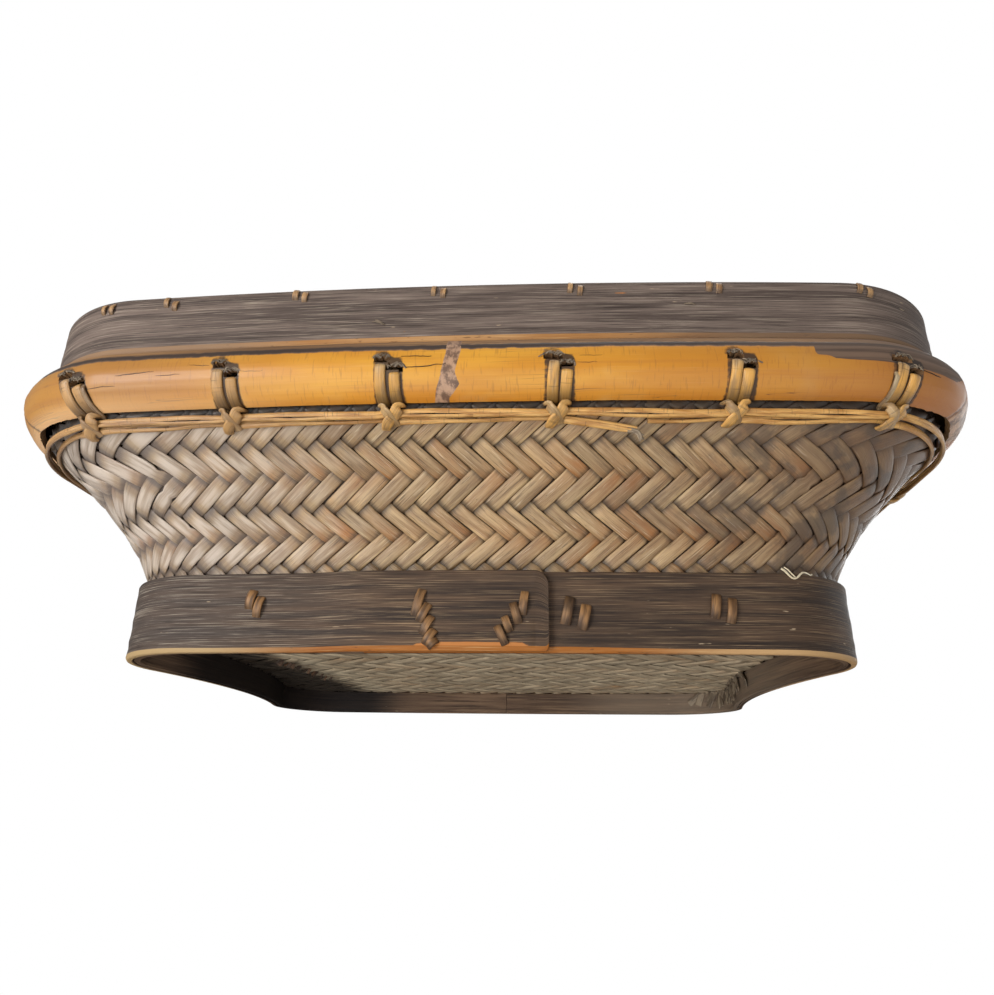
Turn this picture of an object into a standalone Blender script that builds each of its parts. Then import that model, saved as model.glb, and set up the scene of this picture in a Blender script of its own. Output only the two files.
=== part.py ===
"""Lidded bamboo basket: a woven bowl on a bent foot band, a folded half-culm rail and a lift-off lid."""
import math
from collections import namedtuple

import bmesh
import bpy
from mathutils import Matrix, Vector

# All sizes are in metres. The long side runs along X, the front faces -Y and the foot stands on Z = 0.

# Clearances
GAP = 0.0003
LASH_CLEARANCE = 0.0006
SLOT_CLEARANCE = 0.0006

# Plans of the rim and of the foot: sizes through the middle of the sides, corner radius and the bow of
# each side. A negative bow radius bows that side inwards.
RIM_LENGTH = 0.4240
RIM_WIDTH = 0.3650
RIM_CORNER_RADIUS = 0.0585
RIM_SHORT_BOW_RADIUS = 4.0
RIM_LONG_BOW_RADIUS = 2.65
FOOT_LENGTH = 0.3148
FOOT_WIDTH = 0.2936
FOOT_CORNER_RADIUS = 0.0453
FOOT_SHORT_BOW_RADIUS = -0.389
FOOT_LONG_BOW_RADIUS = 2.5
Plan = namedtuple("Plan", "half_x half_y corner short_radius long_radius")
RIM = Plan(RIM_LENGTH / 2, RIM_WIDTH / 2, RIM_CORNER_RADIUS, RIM_SHORT_BOW_RADIUS, RIM_LONG_BOW_RADIUS)
FOOT = Plan(FOOT_LENGTH / 2, FOOT_WIDTH / 2, FOOT_CORNER_RADIUS, FOOT_SHORT_BOW_RADIUS, FOOT_LONG_BOW_RADIUS)
SHORT_STEPS = 2
CORNER_STEPS = 7
LONG_STEPS = 3

# Foot: an outer band with lapped ends and a support hoop inside it
FOOT_HEIGHT = 0.0343
FOOT_BAND_THICKNESS = 0.0030
FOOT_HOOP_HEIGHT = 0.0150
FOOT_HOOP_THICKNESS = 0.0030
FOOT_LAP_START = -0.047
FOOT_LAP_END = 0.0300
LAP_RAMP = 0.030
LAP_CORNER = 0.006

# Woven bowl: bottom on the support hoop, wall flared from the foot to the rim
WALL_THICKNESS = 0.0024
FLOOR_EDGE_RADIUS = 0.0020
FLOOR_RISE = 0.0020
FLARE_POWER = 1.45
FLARE_TOP = 0.0940
FLARE_SHARES = (0.88, 0.70, 0.48, 0.24, 0.0)
FLOOR_SHARES = (0.72, 0.30)
WALL_TOP = 0.1130

# Rail: a split culm with an oval back, folded round the rim
RAIL_BOTTOM = 0.0950
RAIL_HEIGHT = 0.0290
RAIL_DEPTH = 0.0128
RAIL_WALL = 0.0033
RAIL_OUTER_STEPS = 8
RAIL_INNER_STEPS = 4
NOTCH_INNER = 0.0090
NOTCH_OUTER = 0.0022
NOTCH_STRETCH = 2.2
NOTCH_DEPTH = RAIL_DEPTH * 1.4
NOTCH_MIDDLE = RAIL_DEPTH * 0.62
NOTCH_SINK = 0.0005
NOTCH_SHIFT = 0.0075

# Collar: the inner hoop that the lid slips over, up to just below the lid panel
COLLAR_BOTTOM = 0.0965
COLLAR_THICKNESS = 0.0028

# Running canes under the rail
CANE_RADIUS = 0.0016
CANE_DROP = 0.0032
CANE_PITCH = 0.0036
CANE_SPREAD = 0.0009
CANE_TAIL = 0.032
CANE_TAIL_GAP = 0.004
CANE_TAIL_DROP = 0.0040

# Lashings: distance along the rim from the front centre, and lean in degrees
LASH_WIDTH = 0.0047
LASH_THICKNESS = 0.0012
LASH_SPACING = 0.0006
LASH_HOLE_DEPTH = 0.0140
LASH_HOLE_STEP = 0.0042
HOLE_EXTRA = 0.0005
HOLE_START = RAIL_DEPTH * 0.3
HOLE_END = RAIL_DEPTH * 1.5
LASH_LEAVES_RAIL = -72.0
ARC_STEPS = 4
MITRE_LIMIT = 1.6
CROSSING_LOW = -0.0085
CROSSING_HIGH = -0.0039
CROSSING_TILT = 20.0
CROSSING_SINK = 0.0004
LEFT_CORNER_LEAN = -13.0
RIGHT_CORNER_LEAN = 2.0
LEFT_CORNER_LASHING = -0.1690
LEFT_OUTER_LASHING = -0.1020
LEFT_INNER_LASHING = -0.0340
RIGHT_INNER_LASHING = 0.0351
RIGHT_OUTER_LASHING = 0.1072
RIGHT_CORNER_LASHING = 0.1712
SIDE_LASHING_PITCH = 0.085
FRONT_LASHINGS = (
    (LEFT_CORNER_LASHING, LEFT_CORNER_LEAN),
    (LEFT_OUTER_LASHING, 0.0),
    (LEFT_INNER_LASHING, 0.0),
    (RIGHT_INNER_LASHING, 0.0),
    (RIGHT_OUTER_LASHING, 0.0),
    (RIGHT_CORNER_LASHING, RIGHT_CORNER_LEAN),
)
SIDE_LASHINGS = (-SIDE_LASHING_PITCH, 0.0, SIDE_LASHING_PITCH)
TAIL_LASHING = RIGHT_INNER_LASHING

# Lid: a bent band with a woven panel turned down inside it
LID_BAND_HEIGHT = 0.0278
LID_BAND_THICKNESS = 0.0042
LID_BAND_EASE = 0.0002
LID_LAP_LENGTH = 0.080
LID_SKIRT_HEIGHT = 0.0110
LID_PANEL_THICKNESS = 0.0022
LID_PANEL_EDGE = 0.0030
LID_PANEL_SINK = 0.0007
LID_DOME_RISE = 0.0060
LID_DOME_SHARES = (0.80, 0.50, 0.22)

# Rows of the plaited lid panel: a shallow groove along X where one row dips under the next
ROW_PITCH = 0.0147
ROW_START = -0.0025
ROW_GROOVE_DEPTH = 0.0009
ROW_GROOVE_HALF = 0.0020
ROW_REACH = 0.93
ROW_STEPS = 10
ROW_SEARCHES = 20

BAND_CHAMFER = 0.0008
HOOP_CHAMFER = 0.0005

# Mesh settings
STATION_MARGIN = 0.002
SLOPE_STEP = 0.001
CUTTER_SPARE = 0.002
WELD = 0.00001
SHARP_DEGREES = 35.0

# Places that follow from the sizes above
RAIL_CENTRE = RAIL_BOTTOM + RAIL_HEIGHT / 2
RAIL_TOP = RAIL_BOTTOM + RAIL_HEIGHT
LID_SEAT = RAIL_TOP + GAP
LID_TOP = LID_SEAT + LID_BAND_HEIGHT
LID_PANEL_TOP = LID_TOP - LID_PANEL_SINK
SKIRT_BOTTOM = LID_PANEL_TOP - LID_PANEL_EDGE - LID_SKIRT_HEIGHT
COLLAR_TOP = SKIRT_BOTTOM - GAP
FLOOR_BOTTOM = FOOT_HOOP_HEIGHT + GAP
FLARE_BOTTOM = FOOT_HEIGHT + GAP
FOOT_INSET = FOOT_BAND_THICKNESS + GAP

# Finish of each piece: colour, roughness
FINISHES = {
    "dark_bamboo": ((0.115, 0.080, 0.055), 0.50),
    "pale_edge": ((0.350, 0.215, 0.120), 0.55),
    "weave": ((0.300, 0.190, 0.105), 0.42),
    "rail": ((0.580, 0.300, 0.075), 0.25),
    "cane": ((0.620, 0.400, 0.170), 0.40),
    "lashing": ((0.400, 0.280, 0.150), 0.45),
}


def clear_scene():
    for thing in list(bpy.data.objects):
        bpy.data.objects.remove(thing)


def make_collection(name):
    group = bpy.data.collections.new(name)
    bpy.context.scene.collection.children.link(group)
    return group


def make_material(name):
    colour, roughness = FINISHES[name]
    material = bpy.data.materials.new(name)
    material.use_nodes = True
    shader = material.node_tree.nodes["Principled BSDF"]
    shader.inputs["Base Color"].default_value = (*colour, 1.0)
    shader.inputs["Roughness"].default_value = roughness
    shader.inputs["Metallic"].default_value = 0.0
    return material


def quarter_arcs(plan):
    """Arcs of the quarter with x and y positive: centre, signed radius, start and end angle, steps."""
    short_centre = plan.half_x - plan.short_radius
    long_centre = plan.half_y - plan.long_radius
    to_short = abs(plan.short_radius - plan.corner)
    to_long = abs(plan.long_radius - plan.corner)
    span = math.hypot(short_centre, long_centre)
    along = (to_short ** 2 - to_long ** 2 + span ** 2) / (2 * span)
    across = math.sqrt(to_short ** 2 - along ** 2)
    unit = (-short_centre / span, long_centre / span)
    centres = []
    for side in (1, -1):
        x = short_centre + along * unit[0] - side * across * unit[1]
        y = along * unit[1] + side * across * unit[0]
        if x > 0 and y > 0:
            centres.append((x, y))
    corner = min(centres)
    outward = 1 if plan.short_radius > plan.corner else -1
    first = math.atan2(outward * corner[1], outward * (corner[0] - short_centre))
    second = math.atan2(corner[1] - long_centre, corner[0])
    return (
        ((short_centre, 0.0), plan.short_radius, 0.0, first, SHORT_STEPS),
        (corner, plan.corner, first, second, CORNER_STEPS),
        ((0.0, long_centre), plan.long_radius, second, math.pi / 2, LONG_STEPS),
    )


def stations(plan):
    """Points and outward normals round the plan, from the front centre towards +X."""
    quarter = []
    for centre, radius, start, end, steps in quarter_arcs(plan):
        for step in range(steps):
            angle = start + (end - start) * step / steps
            normal = Vector((math.cos(angle), math.sin(angle)))
            quarter.append((Vector(centre) + radius * normal, normal))
    top = Vector((0.0, 1.0))
    quarter.append((Vector((0.0, plan.half_y)), top))

    def mirrored(pairs, x_sign, y_sign):
        sign = Vector((x_sign, y_sign))
        return [(point * sign, normal * sign) for point, normal in pairs]

    loop = mirrored(reversed(quarter), 1, -1)
    loop += quarter[1:]
    loop += mirrored(reversed(quarter), -1, 1)[1:]
    loop += mirrored(quarter, -1, -1)[1:-1]
    return loop


class Loop:
    """A closed plan measured by its length from the front centre."""

    def __init__(self, pairs):
        self.pairs = pairs
        self.marks = [0.0]
        for index, (point, _) in enumerate(pairs):
            following = pairs[(index + 1) % len(pairs)][0]
            self.marks.append(self.marks[-1] + (following - point).length)
        self.length = self.marks[-1]

    def at(self, distance):
        """Point and normal at a distance, which may be negative."""
        place = distance % self.length
        index = 0
        while self.marks[index + 1] < place:
            index += 1
        share = (place - self.marks[index]) / (self.marks[index + 1] - self.marks[index])
        point, normal = self.pairs[index]
        next_point, next_normal = self.pairs[(index + 1) % len(self.pairs)]
        return point.lerp(next_point, share), normal.lerp(next_normal, share).normalized()

    def between(self, start, end, extra=()):
        """Distances of the corner points from start to end, with both ends and any extra places."""
        places = {start, end, *extra}
        turns = (-1, 0, 1)
        for turn in turns:
            for mark in self.marks[:-1]:
                place = mark + turn * self.length
                if start + STATION_MARGIN < place < end - STATION_MARGIN:
                    if all(abs(place - other) > STATION_MARGIN for other in extra):
                        places.add(place)
        return sorted(places)


RIM_LOOP = Loop(stations(RIM))
FOOT_LOOP = Loop(stations(FOOT))


def offset_point(loop, distance, offset, height):
    point, normal = loop.at(distance)
    flat = point + normal * offset
    return Vector((flat.x, flat.y, height))


def flare_share(height):
    """How far the wall has opened from the foot to the rim at a height."""
    share = (height - FLARE_BOTTOM) / (FLARE_TOP - FLARE_BOTTOM)
    return min(max(share, 0.0), 1.0) ** FLARE_POWER


def wall_ring(height):
    """Outer face of the woven wall at a height."""
    share = flare_share(height)
    ring = []
    for (foot_point, foot_normal), (rim_point, _) in zip(FOOT_LOOP.pairs, RIM_LOOP.pairs):
        flat = (foot_point - foot_normal * FOOT_INSET).lerp(rim_point, share)
        ring.append(Vector((flat.x, flat.y, height)))
    return ring


def wall_inset(distance, height):
    """How far the wall's outer face lies inside the rim line at a place along the rim."""
    place = distance % RIM_LOOP.length
    index = 0
    while RIM_LOOP.marks[index + 1] < place:
        index += 1
    share = (place - RIM_LOOP.marks[index]) / (RIM_LOOP.marks[index + 1] - RIM_LOOP.marks[index])
    ring = wall_ring(height)
    on_wall = ring[index].lerp(ring[(index + 1) % len(ring)], share)
    point, normal = RIM_LOOP.at(distance)
    return (point - on_wall.to_2d()).dot(normal)


def add_object(name, mesh, material, group):
    thing = bpy.data.objects.new(name, mesh)
    if material is not None:
        mesh.materials.clear()
        mesh.materials.append(material)
    group.objects.link(thing)
    return thing


def finish_mesh(mesh):
    """Weld the caps, turn the faces outwards and shade by angle."""
    shape = bmesh.new()
    shape.from_mesh(mesh)
    bmesh.ops.remove_doubles(shape, verts=shape.verts, dist=WELD)
    bmesh.ops.recalc_face_normals(shape, faces=shape.faces)
    shape.to_mesh(mesh)
    shape.free()
    mesh.shade_smooth()
    mesh.set_sharp_from_angle(angle=math.radians(SHARP_DEGREES))


def mesh_from_curve(curve_object):
    """Turn a curve object into a mesh in world space and remove the curve."""
    bpy.context.view_layer.update()
    depsgraph = bpy.context.evaluated_depsgraph_get()
    mesh = bpy.data.meshes.new_from_object(curve_object.evaluated_get(depsgraph))
    mesh.transform(curve_object.matrix_world)
    bpy.data.objects.remove(curve_object)
    finish_mesh(mesh)
    return mesh


def poly_curve(name, points, closed):
    curve = bpy.data.curves.new(name, "CURVE")
    curve.dimensions = "3D"
    curve.twist_mode = "Z_UP"
    curve.use_fill_caps = not closed
    spline = curve.splines.new("POLY")
    spline.points.add(len(points) - 1)
    for knot, point in zip(spline.points, points):
        knot.co = (*point, 1.0)
    spline.use_cyclic_u = closed
    return curve


def flat_curve(name, outlines, half_thickness):
    """A filled flat outline in its own XY plane, as thick as twice the given half."""
    curve = bpy.data.curves.new(name, "CURVE")
    curve.dimensions = "2D"
    curve.fill_mode = "BOTH"
    curve.extrude = half_thickness
    for outline in outlines:
        spline = curve.splines.new("POLY")
        spline.points.add(len(outline) - 1)
        for knot, (x, y) in zip(spline.points, outline):
            knot.co = (x, y, 0.0, 1.0)
        spline.use_cyclic_u = True
    return curve


def swept_mesh(name, points, section, closed):
    """Sweep a closed section, given as (outward, up) pairs, along points that run towards +X at the front."""
    profile = bpy.data.curves.new(name + "_section", "CURVE")
    profile.dimensions = "2D"
    spline = profile.splines.new("POLY")
    spline.points.add(len(section) - 1)
    for knot, (outward, up) in zip(spline.points, section):
        knot.co = (outward, up, 0.0, 1.0)
    spline.use_cyclic_u = True
    section_object = bpy.data.objects.new(name + "_section", profile)
    bpy.context.scene.collection.objects.link(section_object)
    curve = poly_curve(name, points, closed)
    curve.bevel_mode = "OBJECT"
    curve.bevel_object = section_object
    path = bpy.data.objects.new(name + "_path", curve)
    bpy.context.scene.collection.objects.link(path)
    mesh = mesh_from_curve(path)
    bpy.data.objects.remove(section_object)
    return mesh


def lofted_mesh(name, rings, cap_first, cap_last):
    """A surface through rings of equal counts, with the first or last ring filled or left open."""
    shape = bmesh.new()
    rows = [[shape.verts.new(point) for point in ring] for ring in rings]
    count = len(rows[0])
    for lower, upper in zip(rows, rows[1:]):
        for index in range(count):
            following = (index + 1) % count
            shape.faces.new((lower[index], lower[following], upper[following], upper[index]))
    if cap_first:
        shape.faces.new(rows[0])
    if cap_last:
        shape.faces.new(rows[-1])
    mesh = bpy.data.meshes.new(name)
    shape.to_mesh(mesh)
    shape.free()
    return mesh


def band_section(inner, outer, bottom, top, chamfer):
    """A strip standing on edge, with its outer corners eased."""
    return (
        (inner, bottom),
        (outer - chamfer, bottom),
        (outer, bottom + chamfer),
        (outer, top - chamfer),
        (outer - chamfer, top),
        (inner, top),
    )


def rail_section():
    """A split culm: outer and inner ovals, open towards the wall."""
    half = RAIL_HEIGHT / 2
    section = []
    for step in range(RAIL_OUTER_STEPS + 1):
        angle = math.pi / 2 - math.pi * step / RAIL_OUTER_STEPS
        section.append((GAP + RAIL_DEPTH * math.cos(angle), RAIL_CENTRE + half * math.sin(angle)))
    for step in range(RAIL_INNER_STEPS + 1):
        angle = -math.pi / 2 + math.pi * step / RAIL_INNER_STEPS
        outward = GAP + (RAIL_DEPTH - RAIL_WALL) * math.cos(angle)
        section.append((outward, RAIL_CENTRE + (half - RAIL_WALL) * math.sin(angle)))
    return section


def box_cutter(name, low, high, matrix, group):
    """A box between two corners in the frame of the matrix."""
    shape = bmesh.new()
    bmesh.ops.create_cube(shape, size=1.0)
    size = Vector(high) - Vector(low)
    middle = (Vector(high) + Vector(low)) / 2
    place = matrix @ Matrix.Translation(middle) @ Matrix.Diagonal((*size, 1.0))
    bmesh.ops.transform(shape, matrix=place, verts=shape.verts)
    bmesh.ops.recalc_face_normals(shape, faces=shape.faces)
    mesh = bpy.data.meshes.new(name)
    shape.to_mesh(mesh)
    shape.free()
    return hide_cutter(add_object(name, mesh, None, group))


def hide_cutter(cutter):
    cutter.display_type = "WIRE"
    cutter.hide_render = True
    return cutter


def join_cutters(name, cutters, group):
    """One object from cutters that do not touch each other."""
    shape = bmesh.new()
    for cutter in cutters:
        shape.from_mesh(cutter.data)
        bpy.data.objects.remove(cutter)
    mesh = bpy.data.meshes.new(name)
    shape.to_mesh(mesh)
    shape.free()
    return hide_cutter(add_object(name, mesh, None, group))


def cut(target, cutter):
    modifier = target.modifiers.new("cut_" + cutter.name, "BOOLEAN")
    modifier.operation = "DIFFERENCE"
    modifier.solver = "EXACT"
    modifier.object = cutter


def place_on_rim(distance, lean_degrees):
    """Frame on the rim line at the rail's middle: X outwards, Y up along the rail's back, Z along the rim."""
    point, normal = RIM_LOOP.at(distance)
    outward = Vector((normal.x, normal.y, 0.0))
    up = Vector((0.0, 0.0, 1.0))
    along = outward.cross(up)
    frame = Matrix((outward, up, along)).transposed().to_4x4()
    frame.translation = Vector((point.x, point.y, RAIL_CENTRE))
    lean = Matrix.Identity(4)
    lean[2][1] = math.tan(math.radians(lean_degrees))
    return frame @ lean


def offset_outline(outline, distance):
    """The closed outline moved to its right by a distance, with mitred corners."""
    moved = []
    count = len(outline)
    for index, point in enumerate(outline):
        before = Vector(point) - Vector(outline[index - 1])
        after = Vector(outline[(index + 1) % count]) - Vector(point)
        first = Vector((before.y, -before.x)).normalized()
        second = Vector((after.y, -after.x)).normalized()
        middle = (first + second).normalized()
        stretch = min(1.0 / max(middle.dot(first), WELD), MITRE_LIMIT)
        moved.append(tuple(Vector(point) + middle * distance * stretch))
    return moved


def cane_centres(distance):
    """Upper and lower running cane at a place along the rim: outward of the rim line and height."""
    centres = []
    for level in (0, 1):
        height = RAIL_BOTTOM - CANE_DROP - level * CANE_PITCH
        below = wall_inset(distance, height - SLOPE_STEP)
        above = wall_inset(distance, height + SLOPE_STEP)
        slope = (below - above) / (2 * SLOPE_STEP)
        reach = (CANE_RADIUS + LASH_CLEARANCE) * math.hypot(1.0, slope)
        centres.append((reach - wall_inset(distance, height), height))
    return centres


def lashing_path(distance, hole_height):
    """Middle line of one turn round collar, rail and running canes, in the frame of place_on_rim."""
    half = LASH_THICKNESS / 2
    stand_off = LASH_CLEARANCE + half
    inside = -(WALL_THICKNESS + GAP + COLLAR_THICKNESS + LASH_CLEARANCE + half)
    reach_out = GAP + RAIL_DEPTH + stand_off
    reach_up = RAIL_HEIGHT / 2 + stand_off
    start = math.asin((hole_height - RAIL_CENTRE) / reach_up)
    end = math.radians(LASH_LEAVES_RAIL)
    path = [(inside, hole_height - RAIL_CENTRE)]
    for step in range(ARC_STEPS + 1):
        angle = start + (end - start) * step / ARC_STEPS
        path.append((reach_out * math.cos(angle), reach_up * math.sin(angle)))
    upper, lower = [Vector((outward, height - RAIL_CENTRE)) for outward, height in cane_centres(distance)]
    down = Vector((0.0, -1.0))
    run = (lower - upper).normalized()
    side = Vector((-run.y, run.x))
    around = CANE_RADIUS + CANE_SPREAD / 2 + stand_off
    for centre, aim in ((upper, side), (lower, side), (lower, (side + down).normalized()), (lower, down)):
        path.append(tuple(centre + aim * around))
    low = path[-1][1]
    through = wall_inset(distance, low + RAIL_CENTRE)
    path.append((-through - WALL_THICKNESS * 1.5 - stand_off * 2, low))
    path.append((inside - LASH_THICKNESS, COLLAR_BOTTOM - RAIL_CENTRE - LASH_THICKNESS))
    return path


def hole_heights():
    """The two turns start from holes at unlike heights."""
    first = RAIL_TOP - LASH_HOLE_DEPTH
    return first, first - LASH_HOLE_STEP


def turn_frame(distance, lean, side):
    """Frame of one of the two turns, which lie side by side along the rim."""
    return place_on_rim(distance - side * (LASH_WIDTH + LASH_SPACING) / 2, lean)


def lashing_turns(name, distance, lean):
    """Two turns side by side, each a flat strip bent round the rim."""
    turns = []
    for side, height in zip((-1, 1), hole_heights()):
        path = lashing_path(distance, height)
        outer = offset_outline(path, -LASH_THICKNESS / 2)
        inner = offset_outline(path, LASH_THICKNESS / 2)
        curve = flat_curve(name, (outer, inner), LASH_WIDTH / 2)
        turn = bpy.data.objects.new(name + "_turn", curve)
        bpy.context.scene.collection.objects.link(turn)
        mesh = mesh_from_curve(turn)
        mesh.transform(turn_frame(distance, lean, side))
        turns.append(mesh)
    return turns


def crossing_strand(name, frame, group):
    """The short strand on the inside that leads from the first turn to the second."""
    inside = -(WALL_THICKNESS + GAP + COLLAR_THICKNESS + LASH_CLEARANCE + LASH_THICKNESS)
    width = LASH_WIDTH + LASH_SPACING
    low = (inside - CROSSING_SINK, CROSSING_LOW, -width * 0.75)
    high = (inside + LASH_THICKNESS * 0.6, CROSSING_HIGH, width * 0.75)
    tilt = Matrix.Rotation(math.radians(CROSSING_TILT), 4, "X")
    return box_cutter(name, low, high, frame @ tilt, group)


def unite(target, cutter):
    modifier = target.modifiers.new("unite_" + cutter.name, "BOOLEAN")
    modifier.operation = "UNION"
    modifier.solver = "EXACT"
    modifier.object = cutter


def lashing_places():
    """Name, distance along the rim and lean of each lashing."""
    quarter = RIM_LOOP.length / 4
    places = []
    for index, (distance, lean) in enumerate(FRONT_LASHINGS, 1):
        places.append(("lashing_front_%d" % index, distance, lean))
        places.append(("lashing_back_%d" % index, distance + 2 * quarter, lean))
    for index, distance in enumerate(SIDE_LASHINGS, 1):
        places.append(("lashing_right_%d" % index, quarter + distance, 0.0))
        places.append(("lashing_left_%d" % index, 3 * quarter + distance, 0.0))
    return places


def build_lashings(parts, cutters, material):
    """Each lashing is a node. Returns the cutters for the rail, the collar and the wall."""
    rail_holes = []
    collar_slots = []
    wall_slots = []
    half_spacing = (LASH_WIDTH + LASH_SPACING) / 2
    half_hole = LASH_WIDTH / 2 + SLOT_CLEARANCE
    half_high = LASH_THICKNESS / 2 + SLOT_CLEARANCE
    for name, distance, lean in lashing_places():
        frame = place_on_rim(distance, lean)
        first, second = lashing_turns(name, distance, lean)
        body = add_object(name, first, material, parts)
        other = hide_cutter(add_object(name + "_second_turn", second, None, cutters))
        unite(body, crossing_strand(name + "_crossing", frame, cutters))
        unite(body, other)
        low = min(height for _, height in lashing_path(distance, hole_heights()[0]))
        through = wall_inset(distance, low + RAIL_CENTRE)
        for side, height in zip((-1, 1), hole_heights()):
            level = height - RAIL_CENTRE
            turn = turn_frame(distance, lean, side)
            rail_low = (HOLE_START, level - half_high, -half_hole)
            rail_high = (HOLE_END, level + half_high + HOLE_EXTRA, half_hole)
            rail_holes.append(box_cutter(name + "_hole", rail_low, rail_high, turn, cutters))
            collar_low = (-COLLAR_THICKNESS * 3, level - half_high, -half_hole)
            collar_high = (GAP, level + half_high, half_hole)
            collar_slots.append(box_cutter(name + "_slot", collar_low, collar_high, turn, cutters))
            wall_slots.append(box_cutter(name + "_wall_slot", collar_low, collar_high, turn, cutters))
        reach = half_spacing + half_hole
        wall_low = (-through - WALL_THICKNESS * 3, low - half_high, -reach)
        wall_high = (-through + WALL_THICKNESS * 2, low + half_high, reach)
        wall_slots.append(box_cutter(name + "_pass", wall_low, wall_high, frame, cutters))
    return (
        join_cutters("rail_holes", rail_holes, cutters),
        join_cutters("collar_slots", collar_slots, cutters),
        join_cutters("wall_slots", wall_slots, cutters),
    )


def fold_distances():
    """Where the culm is notched and folded, a little past the middle of each corner bend."""
    first = LONG_STEPS + CORNER_STEPS // 2
    bend = (RIM_LOOP.marks[first] + RIM_LOOP.marks[first + 1]) / 2
    fold = bend + NOTCH_SHIFT
    half = RIM_LOOP.length / 2
    return (fold, half - fold, half + fold, -fold)


def notch_cutters(group):
    """Tapered three-sided wedges that notch the culm's lips where it is folded."""
    wedges = []
    for index, distance in enumerate(fold_distances(), 1):
        for side in (-1, 1):
            shape = bmesh.new()
            bmesh.ops.create_cone(
                shape,
                cap_ends=True,
                segments=3,
                radius1=NOTCH_INNER,
                radius2=NOTCH_OUTER,
                depth=NOTCH_DEPTH,
            )
            frame = place_on_rim(distance, 0.0)
            turn = Matrix.Rotation(math.radians(90), 4, "Y")
            if side > 0:
                turn = Matrix.Rotation(math.radians(180), 4, "X") @ turn
            spin = Matrix.Rotation(math.radians(90), 4, "Z")
            middle = Matrix.Translation((NOTCH_MIDDLE, side * (RAIL_HEIGHT / 2 - NOTCH_SINK), 0.0))
            stretch = Matrix.Diagonal((1.0, 1.0, NOTCH_STRETCH, 1.0))
            bmesh.ops.transform(shape, matrix=frame @ middle @ stretch @ turn @ spin, verts=shape.verts)
            bmesh.ops.recalc_face_normals(shape, faces=shape.faces)
            mesh = bpy.data.meshes.new("notch")
            shape.to_mesh(mesh)
            shape.free()
            wedges.append(add_object("notch_%d" % index, mesh, None, group))
    return join_cutters("rail_notches", wedges, group)


def hoop_points(loop, height, ends_apart):
    """Points round a loop from the back centre to the back centre, with its ends a little apart."""
    start = -loop.length / 2 + ends_apart / 2
    end = loop.length / 2 - ends_apart / 2
    return [offset_point(loop, place, 0.0, height) for place in loop.between(start, end)]


def lapped_points(loop, lap_start, lap_end, rise, back):
    """A strip whose second end rides up over its first by the rise."""
    shift = loop.length / 2 if back else 0.0
    start = lap_start + shift
    lap_tip = lap_end + shift
    end = lap_tip + loop.length
    ramp_start = end - (lap_end - lap_start) - LAP_RAMP
    extra = (lap_tip, ramp_start, ramp_start + LAP_RAMP / 2, ramp_start + LAP_RAMP)
    points = []
    for place in loop.between(start, end, extra):
        share = min(max((place - ramp_start) / LAP_RAMP, 0.0), 1.0)
        ease = share * share * (3 - 2 * share)
        points.append(offset_point(loop, place, rise * ease, 0.0))
    return points


def tip_cutter(name, loop, tip, bottom, top, outer, group):
    """Rounds the two corners of a strip's free end, seen from outside."""
    point, normal = loop.at(tip)
    outward = Vector((normal.x, normal.y, 0.0))
    up = Vector((0.0, 0.0, 1.0))
    along = up.cross(outward)
    pieces = []
    spare = CUTTER_SPARE
    for edge, sign in ((bottom, -1), (top, 1)):
        outline = [(spare, sign * spare), (-LAP_CORNER, sign * spare), (-LAP_CORNER, 0.0)]
        for step in range(1, ARC_STEPS + 1):
            angle = math.pi / 2 * (1 - step / ARC_STEPS)
            x = -LAP_CORNER + LAP_CORNER * math.cos(angle)
            y = sign * (-LAP_CORNER + LAP_CORNER * math.sin(angle))
            outline.append((x, y))
        outline.append((spare, -sign * LAP_CORNER))
        curve = flat_curve(name, (outline,), outer)
        piece = bpy.data.objects.new(name, curve)
        bpy.context.scene.collection.objects.link(piece)
        frame = Matrix((along, up, -outward)).transposed().to_4x4()
        frame.translation = Vector((point.x, point.y, edge)) + outward * (outer + WELD)
        piece.matrix_world = frame
        pieces.append(add_object(name, mesh_from_curve(piece), None, group))
    return join_cutters(name, pieces, group)


def build_foot(parts, cutters, band_material, hoop_material):
    rise = FOOT_BAND_THICKNESS + GAP
    points = lapped_points(FOOT_LOOP, FOOT_LAP_START, FOOT_LAP_END, rise, False)
    section = band_section(-FOOT_BAND_THICKNESS, 0.0, 0.0, FOOT_HEIGHT, BAND_CHAMFER)
    band = add_object("foot_band", swept_mesh("foot_band", points, section, False), band_material, parts)
    cut(band, tip_cutter("foot_tip", FOOT_LOOP, FOOT_LAP_END, 0.0, FOOT_HEIGHT, rise - GAP / 2, cutters))
    inner = -(FOOT_INSET + FOOT_HOOP_THICKNESS)
    section = band_section(inner, -FOOT_INSET, 0.0, FOOT_HOOP_HEIGHT, HOOP_CHAMFER)
    points = hoop_points(FOOT_LOOP, 0.0, GAP)
    add_object("foot_hoop", swept_mesh("foot_hoop", points, section, False), hoop_material, parts)


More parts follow.
